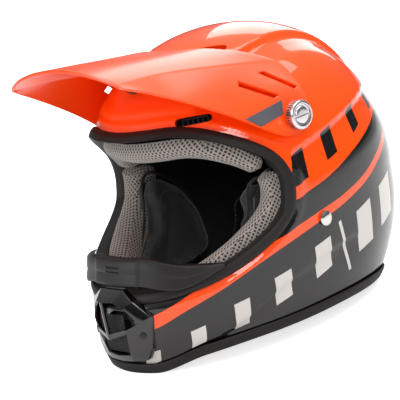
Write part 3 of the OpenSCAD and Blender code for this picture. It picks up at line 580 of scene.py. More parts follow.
# Painted shapes on the shell's sides, as (y, z) corners and lines in millimetres
FIELD_EDGE = [(-160, 100), (-25, 109.5), (-5, 113.7), (18, 118.5), (52, 129), (89, 140), (125, 149), (160, 154)]
STRIPE_TOP = [(-160, 33), (-130, 48), (-114, 58.5), (-91, 68.5), (-64, 79), (-30, 88.2), (-3, 94), (27, 98.8),
              (57, 106.5), (82, 116.3), (120, 131), (160, 140)]
STRIPE_WIDTH = [(-160, 9.5), (-100, 9.5), (-60, 8.5), (-30, 8), (0, 7.5), (40, 6.5), (160, 6)]
BLOCKS = [[(-13, 144), (3, 148), (-1.5, 124), (-18.5, 120)], [(24, 152), (37, 155.6), (34, 133), (21, 130)],
          [(60, 159.6), (72, 162.7), (71, 144.5), (59.4, 140)], [(98, 167), (110, 169), (110, 151), (99, 147)]]
SQUARES = [[(-135, 18), (-130, 20.5), (-130, 10.5), (-135, 6)], [(-114, 32), (-105, 35), (-106, 21), (-114.5, 18)],
           [(-84.6, 45.4), (-73, 47.7), (-75, 26.5), (-86, 24.5)], [(-51.6, 56), (-36.6, 59), (-38, 37), (-52.7, 33)],
           [(-12, 68), (5, 71.6), (3.4, 46.5), (-14, 41.6)]]
# Plain slanted silver blocks and a thin line behind the rivet
ACCENTS = [[(38, 80), (58, 85), (55, 50), (35, 46)], [(74, 89), (96, 95), (92, 61), (70, 55)],
           [(112, 99), (132, 104), (127, 74), (107, 68)], [(16, 79), (19, 80), (23, 36), (20, 35.5)]]


def shell_paint():
    """Painted and clear-coated fibre shell: orange over gloss black, with slanted blocks, a stripe and silver film."""
    colours = bpy.context.scene.helmet_colours
    material, tree, shader = start_material("clear_coated_paint", 0.32, ior=1.5, coat_weight=1.0,
                                            coat_roughness=0.02, specular_ior_level=0.12)
    place = place_in_mm(tree)
    folded = add(tree, "ShaderNodeVectorMath", {0: place}, operation="ABSOLUTE")
    across = add(tree, "ShaderNodeSeparateXYZ", {0: folded}).outputs[0]
    spot = add(tree, "ShaderNodeSeparateXYZ", {0: place})
    y, z = spot.outputs[1], spot.outputs[2]
    above = {}
    lines = {name: height_line(tree, y, stations)
             for name, stations in (("field", FIELD_EDGE), ("top", STRIPE_TOP), ("width", STRIPE_WIDTH))}
    lines["low"] = add(tree, "ShaderNodeMath", {0: lines["top"], 1: lines["width"]}, operation="SUBTRACT")
    for name in ("field", "top", "low"):
        above[name] = add(tree, "ShaderNodeMath", {0: z, 1: lines[name]}, operation="GREATER_THAN")
    beside_chin = add(tree, "ShaderNodeMath", {0: across, 1: 33.0}, operation="GREATER_THAN")
    stripe = add(tree, "ShaderNodeMath", {0: above["low"], 1: above["top"]}, operation="SUBTRACT")
    stripe = add(tree, "ShaderNodeMath", {0: stripe, 1: beside_chin}, operation="MULTIPLY")
    orange = add(tree, "ShaderNodeMath", {0: above["field"], 1: stripe}, operation="MAXIMUM")
    for corners in BLOCKS:
        block = patch(tree, place, corners)
        orange = add(tree, "ShaderNodeMath", {0: orange, 1: block}, operation="SUBTRACT", use_clamp=True)
    silver = None
    shapes = [patch(tree, place, corners) for corners in SQUARES + ACCENTS]
    for shape in shapes:
        silver = shape if silver is None else add(tree, "ShaderNodeMath", {0: silver, 1: shape}, operation="MAXIMUM")
    paint = add(tree, "ShaderNodeMix", {"Factor": orange, 6: tuple(colours.black) + (1,),
                                        7: tuple(colours.orange) + (1,)}, data_type="RGBA")
    paint = add(tree, "ShaderNodeMix", {"Factor": silver, 6: paint.outputs[2], 7: tuple(colours.silver) + (1,)},
                data_type="RGBA")
    tree.links.new(paint.outputs[2], shader.inputs["Base Color"])
    # A sprayed coat has a shallow ripple about 6 mm across
    ripple = grain(tree, 6, 1.0, place)
    bumped(tree, shader, ripple.outputs[0], 0.015, "Coat Normal")
    return material


FINISHES = {
    "shell_paint": shell_paint, "impact_foam": impact_foam, "trim_rubber": trim_rubber, "mesh_fabric": spacer_mesh,
    "liner_fabric": liner_cloth, "black_plastic": black_plastic, "guard_rubber": guard_rubber,
    "gloss_black_plastic": gloss_black, "black_mesh": mesh_wire, "dark_steel": dark_steel,
    "visor_plastic": visor_plastic, "screw_aluminium": screw_aluminium, "insert_brass": insert_brass,
    "polished_steel": polished_steel, "strap_webbing": webbing, "sleeve_fabric": sleeve_cloth,
    "printed_film": printed_film,
}
made = {}


def finish(name):
    if name not in made:
        made[name] = FINISHES[name]()
    return made[name]


# ---- Geometry node trees ----
def start_tree(name, sockets):
    """A geometry tree with a geometry input, named inputs given as (name, kind, value), and a geometry output."""
    tree = bpy.data.node_groups.new(name, "GeometryNodeTree")
    tree.interface.new_socket("Geometry", in_out="INPUT", socket_type="NodeSocketGeometry")
    for label, kind, value in sockets:
        tree.interface.new_socket(label, in_out="INPUT", socket_type=kind).default_value = value
    tree.interface.new_socket("Geometry", in_out="OUTPUT", socket_type="NodeSocketGeometry")
    return tree, tree.nodes.new("NodeGroupInput"), tree.nodes.new("NodeGroupOutput")


def end_tree(tree, geometry, output, surface):
    plain = add(tree, "GeometryNodeRealizeInstances", {0: geometry})
    coated = add(tree, "GeometryNodeSetMaterial", {"Geometry": plain, "Material": surface})
    tree.links.new(coated.outputs[0], output.inputs[0])


def run_tree(piece, tree, values, sharp=40):
    """Runs a geometry tree on a piece with its inputs set by identifier, and keeps the plain result."""
    modifier = piece.modifiers.new(tree.name, "NODES")
    modifier.node_group = tree
    for item in tree.interface.items_tree:
        if item.in_out == "INPUT" and item.name in values:
            modifier[item.identifier] = values[item.name]
    return settle(piece, sharp)


def knurl_tree(surface):
    """Ribs round the rim of a turned head, whose axis is +X."""
    tree, source, output = start_tree("knurled_rim", [("Ribs", "NodeSocketInt", 36),
                                                      ("Radius", "NodeSocketFloat", 0.0118),
                                                      ("Rib width", "NodeSocketFloat", 0.0012),
                                                      ("Rib length", "NodeSocketFloat", 0.003)])
    rim = add(tree, "GeometryNodeMeshCircle", {"Vertices": source.outputs["Ribs"],
                                               "Radius": source.outputs["Radius"]})
    size = add(tree, "ShaderNodeCombineXYZ", {0: source.outputs["Rib width"], 1: source.outputs["Rib width"],
                                              2: source.outputs["Rib length"]})
    rib = add(tree, "GeometryNodeMeshCube", {"Size": size})
    spot = add(tree, "GeometryNodeInputPosition")
    turn = add(tree, "FunctionNodeAlignRotationToVector", {"Vector": spot}, axis="X")
    ribs = add(tree, "GeometryNodeInstanceOnPoints", {"Points": rim, "Instance": rib, "Rotation": turn})
    both = add(tree, "GeometryNodeJoinGeometry", {0: source.outputs["Geometry"]})
    tree.links.new(ribs.outputs[0], both.inputs[0])
    end_tree(tree, both, output, surface)
    return tree


def stitch_tree(surface):
    """Stitches along a path of edges."""
    tree, source, output = start_tree("stitches", [("Pitch", "NodeSocketFloat", 0.004),
                                                   ("Thread", "NodeSocketFloat", 0.0005)])
    path = add(tree, "GeometryNodeMeshToCurve", {0: source.outputs["Geometry"]})
    even = add(tree, "GeometryNodeResampleCurve", {"Curve": path, "Length": source.outputs["Pitch"]}, mode="LENGTH")
    thread = add(tree, "GeometryNodeMeshUVSphere", {"Segments": 6, "Rings": 5, "Radius": source.outputs["Thread"]})
    stitch = add(tree, "GeometryNodeTransform", {"Geometry": thread, "Scale": (1.0, 1.0, 2.8)})
    along = add(tree, "GeometryNodeInputTangent")
    turn = add(tree, "FunctionNodeAlignRotationToVector", {"Vector": along}, axis="Z")
    stitches = add(tree, "GeometryNodeInstanceOnPoints", {"Points": even, "Instance": stitch, "Rotation": turn})
    end_tree(tree, stitches, output, surface)
    return tree


def wire_tree(surface):
    """Round wires along every edge of a patch."""
    tree, source, output = start_tree("wires", [("Wire radius", "NodeSocketFloat", 0.00035)])
    path = add(tree, "GeometryNodeMeshToCurve", {0: source.outputs["Geometry"]})
    round_wire = add(tree, "GeometryNodeCurvePrimitiveCircle", {"Resolution": 6,
                                                                "Radius": source.outputs["Wire radius"]})
    wires = add(tree, "GeometryNodeCurveToMesh", {"Curve": path, "Profile Curve": round_wire, "Fill Caps": True})
    end_tree(tree, wires, output, surface)
    return tree


def path_piece(name, paths, surface):
    """An object of bare edges along open or closed paths given as (points, closed)."""
    points, edges = [], []
    for path, closed in paths:
        base = len(points)
        points += [tuple(p) for p in np.asarray(path, float) * MM]
        edges += [(base + i, base + i + 1) for i in range(len(path) - 1)]
        if closed:
            edges.append((base + len(path) - 1, base))
    mesh = bpy.data.meshes.new(name)
    mesh.from_pydata(points, edges, [])
    mesh.materials.append(surface)
    piece = bpy.data.objects.new(name, mesh)
    bpy.context.scene.collection.objects.link(piece)
    return piece


# ---- Sizes and colours that a user would change ----
class HelmetSizes(bpy.types.PropertyGroup):
    """Sizes of the visible detail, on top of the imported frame."""
    trim_bulge: FloatProperty(name="Trim bulge", description="How far the rubber band's face is crowned, in mm",
                              default=0.3, min=0, max=2, precision=2)
    panel_rise: FloatProperty(name="Panel rise", description="Height of the raised centre panel, in mm",
                              default=3.0, min=0, max=5, precision=1)
    knurls: IntProperty(name="Knurls", description="Ribs round each side screw's rim", default=36, min=12, max=60)
    visor_wall: FloatProperty(name="Visor wall", description="Thickness of the visor's panels, in mm",
                              default=2.6, min=1.5, max=4, precision=1)
    stitch_pitch: FloatProperty(name="Stitch pitch", description="Distance between stitches, in metres",
                                default=0.004, min=0.002, max=0.01, unit="LENGTH")


class HelmetColours(bpy.types.PropertyGroup):
    """Paint colours, linear."""
    orange: FloatVectorProperty(name="Orange", description="Orange of the shell and the visor", subtype="COLOR",
                                size=3, min=0, max=1, default=linear("#ff4a00")[:3])
    black: FloatVectorProperty(name="Black", description="Black of the lower shell", subtype="COLOR",
                               size=3, min=0, max=1, default=linear("#0a0708")[:3])
    silver: FloatVectorProperty(name="Silver", description="Silver film on the shell", subtype="COLOR",
                                size=3, min=0, max=1, default=linear("#c4bfbb")[:3])


# ---- Shell ----
SIDE_CREASE = [(-40, 143), (-10, 148), (24, 154), (70, 162), (110, 166), (160, 166)]
JAW_CREASE = [(-160, 10), (-127, 18), (-84, 29), (-54, 45), (-15, 56), (20, 62), (60, 64)]


def shell_relief(points, from_port):
    """How far the shell stands out from its form at points, in millimetres."""
    rise = bpy.context.scene.helmet_sizes.panel_rise
    x, y, z = np.abs(points[..., 0]), points[..., 1], points[..., 2]
    # Raised centre panel that narrows to the back, with a channel beside it
    panel_edge = through([(-60, 62), (28, 56), (80, 50), (150, 40)], y)
    on_top = smooth(z, 150, 185)
    panel = rise * (1 - smooth(x, panel_edge, panel_edge + 3.5)) * on_top
    channel = -1.6 * smooth(x, panel_edge + 3, panel_edge + 6) * (1 - smooth(x, panel_edge + 12, panel_edge + 26))
    # Ledge along the side: sharp on top, fading out below
    below = through(SIDE_CREASE, y) - z
    ledge = -3.0 * smooth(below, 0, 2.6) * (1 - smooth(below, 4, 40)) * smooth(y, -34, -12)
    # Character line along the jaw
    under = through(JAW_CREASE, y) - z
    jaw = -2.2 * smooth(under, 0, 3) * (1 - smooth(under, 6, 30)) * (1 - smooth(y, 10, 60))
    low_fade = smooth(z, 14, 26)
    # Rolled lip round the eye port
    lip = 1.5 * smooth(from_port, 7, 10) * (1 - smooth(from_port, 11, 15))
    relief = panel + channel * on_top + ledge + jaw * low_fade
    return relief * smooth(from_port, 10, 22) + lip


def rounded_slot(at, toward, width, height, depth, out, count=10):
    """Cutter with a rounded section, driven along a direction from inside to outside."""
    toward = unit(np.array(toward, float))
    flat = unit(np.array([-toward[1], toward[0], 0]))
    up = np.cross(toward, flat)
    rim = []
    for side in (1, -1):
        for k in range(count):
            angle = math.pi * k / (count - 1) - math.pi / 2
            rim.append(flat * side * ((width - height) / 2 + height / 2 * math.cos(angle))
                       + up * side * height / 2 * math.sin(angle))
    rim = np.array(rim)
    return closed_loft([np.array(at) + rim + toward * reach for reach in (-depth, -depth / 2, out / 2, out)])


VENTS = [((0.275, -0.205, 0.793), (0.55, -0.7, 0.3), 30, 7), ((0.17, -0.02, 0.95), (0.3, -0.35, 0.9), 26, 8),
         ((0.16, 0.42, 0.70), (0.3, 0.85, 0.45), 30, 12), ((0.14, 0.47, 0.40), (0.2, 1, 0), 24, 7)]
VENT_REACH = 14


def vent_centre(share):
    return np.array([share[0] * 2 * HALF_W, share[1] * LENGTH, share[2] * HEIGHT])


def shell_mesh(columns=288, rows=128):
    """The moulded shell: an outer skin with relief, an inner skin, and the eye port's edge between them."""
    angles = 360 * np.arange(columns) / columns
    rise = np.sin(np.radians(89.3 * np.arange(rows + 1) / rows))
    low = edge_z(angles)
    heights = low[None] + (HEIGHT * 0.99985 - low[None]) * rise[:, None]
    angle_grid = np.broadcast_to(angles, heights.shape).copy()
    signed = (angle_grid + 180) % 360 - 180
    outline = port_outline(400)
    outline_points = skin_point(outline[:, 0], outline[:, 1])
    corners = np.stack([signed.ravel(), heights.ravel()], axis=1)
    base = skin_point(angle_grid, heights)
    inside = inside_outline(corners, outline).reshape(heights.shape)
    gone = inside[:-1] & inside[1:] & np.roll(inside, -1, 1)[:-1] & np.roll(inside, -1, 1)[1:]
    kept = ~gone
    # Vertices inside the port that a kept face still uses move onto its outline
    used = np.zeros(heights.shape, bool)
    used[:-1] |= kept
    used[1:] |= kept
    used[:-1] |= np.roll(kept, 1, 1)
    used[1:] |= np.roll(kept, 1, 1)
    far = np.full(heights.shape, 99.0)
    near_port = (np.abs(signed) < 95) & (heights < 0.9 * HEIGHT)
    spots = np.argwhere(near_port)
    for chunk in np.array_split(spots, 12):
        gaps = np.linalg.norm(base[chunk[:, 0], chunk[:, 1]][:, None] - outline_points[None], axis=2)
        far[chunk[:, 0], chunk[:, 1]] = gaps.min(axis=1)
        for (j, i), row in zip(chunk, gaps):
            if used[j, i] and inside[j, i]:
                nearest = outline[row.argmin()]
                signed[j, i], heights[j, i] = nearest
                far[j, i] = 0
    base = skin_point(signed, heights)
    normal = outward(signed, np.minimum(heights, HEIGHT * 0.998))
    normal[-1] = (0, 0, 1)
    outer = base + normal * shell_relief(base, far)[..., None]
    inner = skin_point(signed, np.minimum(heights, HEIGHT - WALL - 0.02), WALL)
    return shell_skins(outer, inner, kept)


def shell_skins(outer, inner, kept):
    """Two skins of the same grid as one closed mesh: the poles are closed and every open edge is walled."""
    rows, columns = outer.shape[:2]
    count = rows * columns
    points = np.concatenate([outer.reshape(-1, 3), inner.reshape(-1, 3), outer[-1:].mean(axis=1),
                             inner[-1:].mean(axis=1)])
    faces = []
    for j in range(rows - 1):
        for i in range(columns):
            if kept[j, i]:
                k = (i + 1) % columns
                quad = (j * columns + i, j * columns + k, (j + 1) * columns + k, (j + 1) * columns + i)
                faces.append(quad)
                faces.append(tuple(count + v for v in quad[::-1]))
    last = (rows - 1) * columns
    for i in range(columns):
        k = (i + 1) % columns
        faces += [(last + i, last + k, 2 * count), (count + last + k, count + last + i, 2 * count + 1)]
    seen = {}
    for face in faces:
        if max(face) < count:
            for a, b in zip(face, face[1:] + face[:1]):
                seen[(a, b)] = True
    walls = [(b, a, count + a, count + b) for a, b in seen if (b, a) not in seen and a < count and b < count
             and not (a >= last and b >= last)]
    return points, faces + walls


def inside_outline(points, outline):
    """Which (angle, height) points lie inside a closed outline."""
    inside = np.zeros(len(points), bool)
    for (x0, y0), (x1, y1) in zip(outline, np.roll(outline, -1, 0)):
        if y0 == y1:
            continue
        crosses = (points[:, 1] > min(y0, y1)) & (points[:, 1] <= max(y0, y1))
        inside ^= crosses & (points[:, 0] < x0 + (points[:, 1] - y0) * (x1 - x0) / (y1 - y0))
    return inside


class HELMET_OT_shell(bpy.types.Operator):
    """Make the moulded and painted shell"""
    bl_idname = "helmet.shell"
    bl_label = "Shell"

    def execute(self, context):
        points, faces = shell_mesh()
        shell = make_piece("painted_shell", points, faces, finish("shell_paint"), 50)
        cutters = []
        for share, toward, width, height in VENTS:
            cutters.append(rounded_slot(vent_centre(share), toward, width, height, 22, VENT_REACH))
        cutters = [both_sides(cutter) for cutter in cutters]
        intake_z = 0.15 * HEIGHT
        cutters.append(rounded_slot((0, -HALF_L * 0.93, intake_z), (0, -1, 0), 36, 34, 14, 30))
        cut_away(shell, *joined(cutters))
        shell.data.shade_smooth()
        shell.data.set_sharp_from_angle(angle=math.radians(50))
        hand_over(shell, "helmet", "shell_paint", "outer_shell")
        return {"FINISHED"}


# ---- Edge trims ----
class HELMET_OT_trims(bpy.types.Operator):
    """Make the rubber bands round the eye port and the neck opening"""
    bl_idname = "helmet.trims"
    bl_label = "Edge trims"

    def execute(self, context):
        bulge = context.scene.helmet_sizes.trim_bulge
        face, width, lip, inner = 3.2, 5.6, 10, 1.0
        section = [(width, 0.6), (width + 0.3, 1.6), (width - 0.4, 2.5), (width - 2, face),
                   (width * 0.6, face + bulge * 0.7), (width * 0.3, face + bulge), (0, face + bulge * 0.8),
                   (-2.2, face + 0.2), (-face, face - 1.2), (-face - 0.2, 0), (-face, -lip + 1),
                   (-face + 0.8, -lip), (-inner, -lip), (-inner, 0.6)]
        outline = port_outline(320)
        surface = skin_point(outline[:, 0], outline[:, 1])
        along = np.roll(surface, -1, 0) - np.roll(surface, 1, 0)
        away = unit(np.cross(outward(outline[:, 0], outline[:, 1]), along))
        rows = [skin_point(outline[:, 0], outline[:, 1], -out) + side * away for side, out in section]
        points = np.stack(rows, axis=1).reshape(-1, 3)
        trim = make_piece("eye_port_rubber", points, loft_faces(len(outline), len(section), loop=True),
                          finish("trim_rubber"), 60)
        hand_over(trim, "helmet", "trim_rubber", "eye_port_trim")

        bead = [(4, 0.9), (4, 1.8), (3.2, 2.5), (1, 3), (-BEAD_H + 1.5, 2.6), (-BEAD_H + 0.3, 1.6), (-BEAD_H, 0),
                (-BEAD_H, -WALL), (-BEAD_H + 0.3, -WALL - 1.4), (-BEAD_H + 1.5, -WALL - 2.4), (-0.7, -WALL - 2.8),
                (-0.7, 0.9)]
        angles = 360 * np.arange(300) / 300
        rows = [skin_point(angles, edge_z(angles) + up, -out) for up, out in bead]
        points = np.stack(rows, axis=1).reshape(-1, 3)
        neck = make_piece("neck_edge_rubber", points, loft_faces(len(angles), len(bead), loop=True),
                          finish("trim_rubber"), 60)
        hand_over(neck, "helmet", "trim_rubber", "neck_trim")
        return {"FINISHED"}


# ---- Padding ----
def pad_start(node, shrink):
    """A copy of a packed soft solid, merged and drawn in by shrink millimetres."""
    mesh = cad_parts[node].data.copy()
    work = bmesh.new()
    work.from_mesh(mesh)
    bmesh.ops.remove_doubles(work, verts=work.verts, dist=1e-5)
    bmesh.ops.recalc_face_normals(work, faces=work.faces)
    work.normal_update()
    for vertex in work.verts:
        vertex.co -= vertex.normal * shrink * MM
    work.to_mesh(mesh)
    work.free()
    return mesh


def padded_piece(name, node, surface, voxel=4.0, shrink=2.0, cap=5.0):
    """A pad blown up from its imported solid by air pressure, with each point's travel capped."""
    piece = bpy.data.objects.new(name, pad_start(node, shrink))
    bpy.context.scene.collection.objects.link(piece)
    piece.data.materials.clear()
    piece.data.materials.append(surface)
    remesh = piece.modifiers.new("even cells", "REMESH")
    remesh.mode = "VOXEL"
    remesh.voxel_size = voxel * MM
    settle(piece)
    start = vertex_places(piece.data)
    cloth = piece.modifiers.new("air", "CLOTH")
    cloth.settings.use_pressure = True
    cloth.settings.uniform_pressure_force = 4
    cloth.settings.effector_weights.gravity = 0
    cloth.point_cache.frame_end = 20
    scene = bpy.context.scene
    for step in range(1, 21):
        scene.frame_set(step)
    graph = bpy.context.evaluated_depsgraph_get()
    moved = vertex_places(piece.evaluated_get(graph).data) - start
    piece.modifiers.clear()
    scene.frame_set(1)
    reach = np.linalg.norm(moved, axis=1, keepdims=True)
    start = start + moved * np.minimum(1, cap * MM / np.maximum(reach, 1e-9))
    piece.data.vertices.foreach_set("co", start.ravel())
    even = piece.modifiers.new("even skin", "SMOOTH")
    even.factor = 0.5
    even.iterations = 4
    finer = piece.modifiers.new("finer", "SUBSURF")
    finer.levels = finer.render_levels = 1
    settle(piece)
    piece.data.shade_smooth()
    return piece


def vertex_places(mesh):
    places = np.empty(len(mesh.vertices) * 3)
    mesh.vertices.foreach_get("co", places)
    return places.reshape(-1, 3)


def mirror_piece(piece, name):
    """A mirrored copy of a piece, with its faces still outwards."""
    copy = bpy.data.objects.new(name, piece.data.copy())
    bpy.context.scene.collection.objects.link(copy)
    copy.data.transform(Matrix.Scale(-1, 4, (1, 0, 0)))
    copy.data.flip_normals()
    return copy


PLATE_OUT = 30.4
CHEEK_OUT = PLATE_OUT + 3
CHEEK_T = 24
CHEEK_OUTLINE = [(-0.255, 0.17), (-0.22, 0.155), (-0.12, 0.150), (0.0, 0.152), (0.07, 0.17), (0.09, 0.22),
                 (0.085, 0.34), (0.04, 0.45), (-0.03, 0.52), (-0.075, 0.53), (-0.10, 0.50), (-0.115, 0.42),
                 (-0.145, 0.35), (-0.19, 0.295), (-0.245, 0.27), (-0.265, 0.22)]
CHEEK_TAPER = [(-0.28, 0.45), (-0.14, 1), (0.1, 1)]


def closed_curve(points, count):
    """Points evenly spread in parameter along a smooth closed curve."""
    points = np.asarray(points, float)
    u = len(points) * np.arange(count) / count
    i = np.floor(u).astype(int)
    f = (u - i)[:, None]
    a, b, c, d = (points[(i + k) % len(points)] for k in (-1, 0, 1, 2))
    return 0.5 * (2 * b + f * (c - a) + f**2 * (2 * a - 5 * b + 4 * c - d) + f**3 * (3 * b - a - 3 * c + d))


def cheek_ring(depth, share, count=160):
    """A line round the cheek pad at a share of its outline and of its thickness."""
    outline = closed_curve(CHEEK_OUTLINE, count) * [LENGTH, HEIGHT]
    middle = outline.mean(axis=0)
    outline = middle + share * (outline - middle)
    x = side_x(outline[:, 0], outline[:, 1], CHEEK_OUT)
    x = x - depth * CHEEK_T * through(CHEEK_TAPER, outline[:, 0] / LENGTH)
    return np.column_stack([x, outline])


def tube(path, radius, sides=10, closed=True):
    """Points and faces of a round cord along a path."""
    path = np.asarray(path, float)
    ahead = np.roll(path, -1, 0) if closed else np.concatenate([path[1:], path[-1:]])
    behind = np.roll(path, 1, 0) if closed else np.concatenate([path[:1], path[:-1]])
    along = unit(ahead - behind)
    side = unit(np.cross(along, (0.31, 0.12, 0.94)))
    up = np.cross(along, side)
    turns = 2 * math.pi * np.arange(sides) / sides
    rows = path[:, None] + radius * (side[:, None] * np.cos(turns)[:, None] + up[:, None] * np.sin(turns)[:, None])
    if closed:
        return rows.reshape(-1, 3), loft_faces(len(path), sides, loop=True)
    return closed_loft(rows)


BAND_SECTION = [(-0.8, 12), (-3, 10.6), (-9, 11.5), (-12, 15), (-13, 21), (-11.5, 28), (-6, 34), (0, 36.5), (5, 36.5),
                (5, 31), (-0.8, 29.6)]


def port_band(start, end, count=150):
    """Crowned strip of padding round the eye port between two corner numbers of its outline."""
    u = np.linspace(start, end, count)
    i = np.floor(u).astype(int)
    f = (u - i)[:, None]
    a, b, c, d = (PORT_CORNERS[(i + k) % len(PORT_CORNERS)] for k in (-1, 0, 1, 2))
    line = 0.5 * (2 * b + f * (c - a) + f**2 * (2 * a - 5 * b + 4 * c - d) + f**3 * (3 * b - a - 3 * c + d))
    line = line * [1, HEIGHT]
    surface = skin_point(line[:, 0], line[:, 1])
    away = unit(np.cross(outward(line[:, 0], line[:, 1]), np.gradient(surface, axis=0)))
    share = np.linspace(0, 1, count)
    full = np.sqrt(np.clip(1 - (1 - smooth(share, -0.001, 0.06)) ** 2, 0.02, 1))
    full = (full * full[::-1])[:, None]
    section = closed_curve(BAND_SECTION, 40)
    middle = section.mean(axis=0)
    rows = []
    for side, inset in section:
        side = middle[0] + (side - middle[0]) * full[:, 0]
        inset = middle[1] + (inset - middle[1]) * full[:, 0]
        rows.append(skin_point(line[:, 0], line[:, 1], 0) - outward(line[:, 0], line[:, 1]) * inset[:, None]
                    + side[:, None] * away)
    return closed_loft(np.stack(rows, axis=1))


class HELMET_OT_padding(bpy.types.Operator):
    """Make the brow, cheek, crown and nape pads with their piping and stitches"""
    bl_idname = "helmet.padding"
    bl_label = "Padding"

    def execute(self, context):
        pitch = context.scene.helmet_sizes.stitch_pitch
        mesh_cloth, jersey = finish("mesh_fabric"), finish("liner_fabric")
        brow = make_piece("brow_mesh_pad", *port_band(-6.1, 6.1, 300), mesh_cloth, 60)
        hand_over(brow, "helmet", "mesh_fabric", "brow_pad")
        left = padded_piece("cheek_cushion_left", "cheek_pad_left", jersey, 4.0, 2.5, 5.0)
        right = mirror_piece(left, "cheek_cushion_right")
        for cushion, node in ((left, "cheek_pad_left"), (right, "cheek_pad_right")):
            hand_over(cushion, "helmet", "liner_fabric", node)
        for side, word in ((1, "left"), (-1, "right")):
            points, faces = port_band(6.45, 11.8)
            face_pad = make_piece("cheek_pad_face_" + word, points * [side, 1, 1], faces, mesh_cloth, 60)
            hand_over(face_pad, "helmet", "mesh_fabric")
        crown = padded_piece("crown_cushion", "crown_pad", jersey, 5.0, 1.5, 5.0)
        hand_over(crown, "helmet", "liner_fabric", "crown_pad")
        nape = padded_piece("nape_cushion", "nape_pad", jersey, 4.5, 1.5, 5.0)
        hand_over(nape, "helmet", "liner_fabric", "nape_pad")
        piping = both_sides(tube(cheek_ring(0.12, 1.0), 1.3))
        cord = make_piece("cheek_piping", *piping, jersey, 80)
        hand_over(cord, "helmet", "liner_fabric")
        seam = cheek_ring(1.02, 0.72)
        tree = stitch_tree(jersey)
        stitches = path_piece("cheek_stitches", [(seam, True), (seam * [-1, 1, 1], True)], jersey)
        run_tree(stitches, tree, {"Pitch": pitch, "Thread": 0.0006})
        hand_over(stitches, "helmet", "liner_fabric")
        return {"FINISHED"}


# ---- Nose guard and mouthpiece ----
GUARD_OUT = 4.4
GUARD_T = 3
GUARD_TOP = [(0, 0.39), (13, 0.39), (30, 0.357), (46, 0.335)]
GUARD_LOW = [(0, 0.308), (13, 0.305), (30, 0.282), (46, 0.322)]
MOUTH_T = 3
MOUTH_GAP = 2
MOUTH_RIDGE = [(0.04, 0.94), (0.075, 0.965), (0.147, 1), (0.277, 0.992), (0.30, 0.91)]
MOUTH_HALF = 38


def level_front(x, z):
    """How far the form reaches to the front at half width x and height z."""
    t = z / HEIGHT
    power, width = through(FRONT_POWER, t), HALF_W * through(WIDTH_AT, t)
    reach = HALF_L * through(FRONT_AT, t) + level_y(z)
    return reach * (1 - (np.minimum(np.abs(x), width) / width) ** power) ** (1 / power) - level_y(z)


def mouth_point(x, t, out=0.0):
    """A point of the mouthpiece's front at half width x and a share t of the height."""
    ridge = -HALF_L * through(MOUTH_RIDGE, t) + MOUTH_T / 2
    side = -level_front(x, t * HEIGHT) - MOUTH_GAP - MOUTH_T / 2
    share = min(1, abs(x) / MOUTH_HALF) ** 1.1
    return np.array([x, ridge + (side - ridge) * share - out, t * HEIGHT])


class HELMET_OT_guard(bpy.types.Operator):
    """Make the soft nose guard on the lower edge of the eye port"""
    bl_idname = "helmet.guard"
    bl_label = "Nose guard"

    def execute(self, context):
        angles = np.linspace(46, -46, 121)
        low, high = through(GUARD_LOW, np.abs(angles)) * HEIGHT, through(GUARD_TOP, np.abs(angles)) * HEIGHT
        # The middle stands out as a faceted block
        block = 0.9 * (1 - smooth(np.abs(angles), 11.5, 14))
        ends = 1 - smooth(np.abs(angles), 40, 46)
        lean = 0.25 * (high - low)
        section = [(0, 0), (0, 0.8), (0.1, 1), (0.45, 0.85), (0.55, 1.1), (0.93, 1), (1, 0.7), (1, 0)]
        rows = []
        for up, thick in section:
            z = low + (high - low) * up
            out = GUARD_OUT + GUARD_T * thick * (0.35 + 0.65 * ends) + block * min(1, thick) * ends - lean * 0.3 * up
            rows.append(skin_point(angles, z, -out))
        tuck = skin_point(angles, high, -GUARD_OUT + GUARD_T + lean * 0.3)
        rows.append(tuck)
        guard = make_piece("nose_deflector", *closed_loft(np.stack(rows, axis=1)), finish("guard_rubber"), 24)
        slots = []
        for share in (0.52, 0.7):
            z = low[60] + (high[60] - low[60]) * share
            front = skin_point(0, z, -GUARD_OUT - GUARD_T - 0.9)
            slots.append(rounded_slot(front, (0, -1, 0), 18, 1.6, 2.0, 6))
        cut_away(guard, *joined(slots))
        round_edges(guard, 0.7, 28)
        settle(guard, 40)
        hand_over(guard, "helmet", "guard_rubber", "nose_guard")
        return {"FINISHED"}


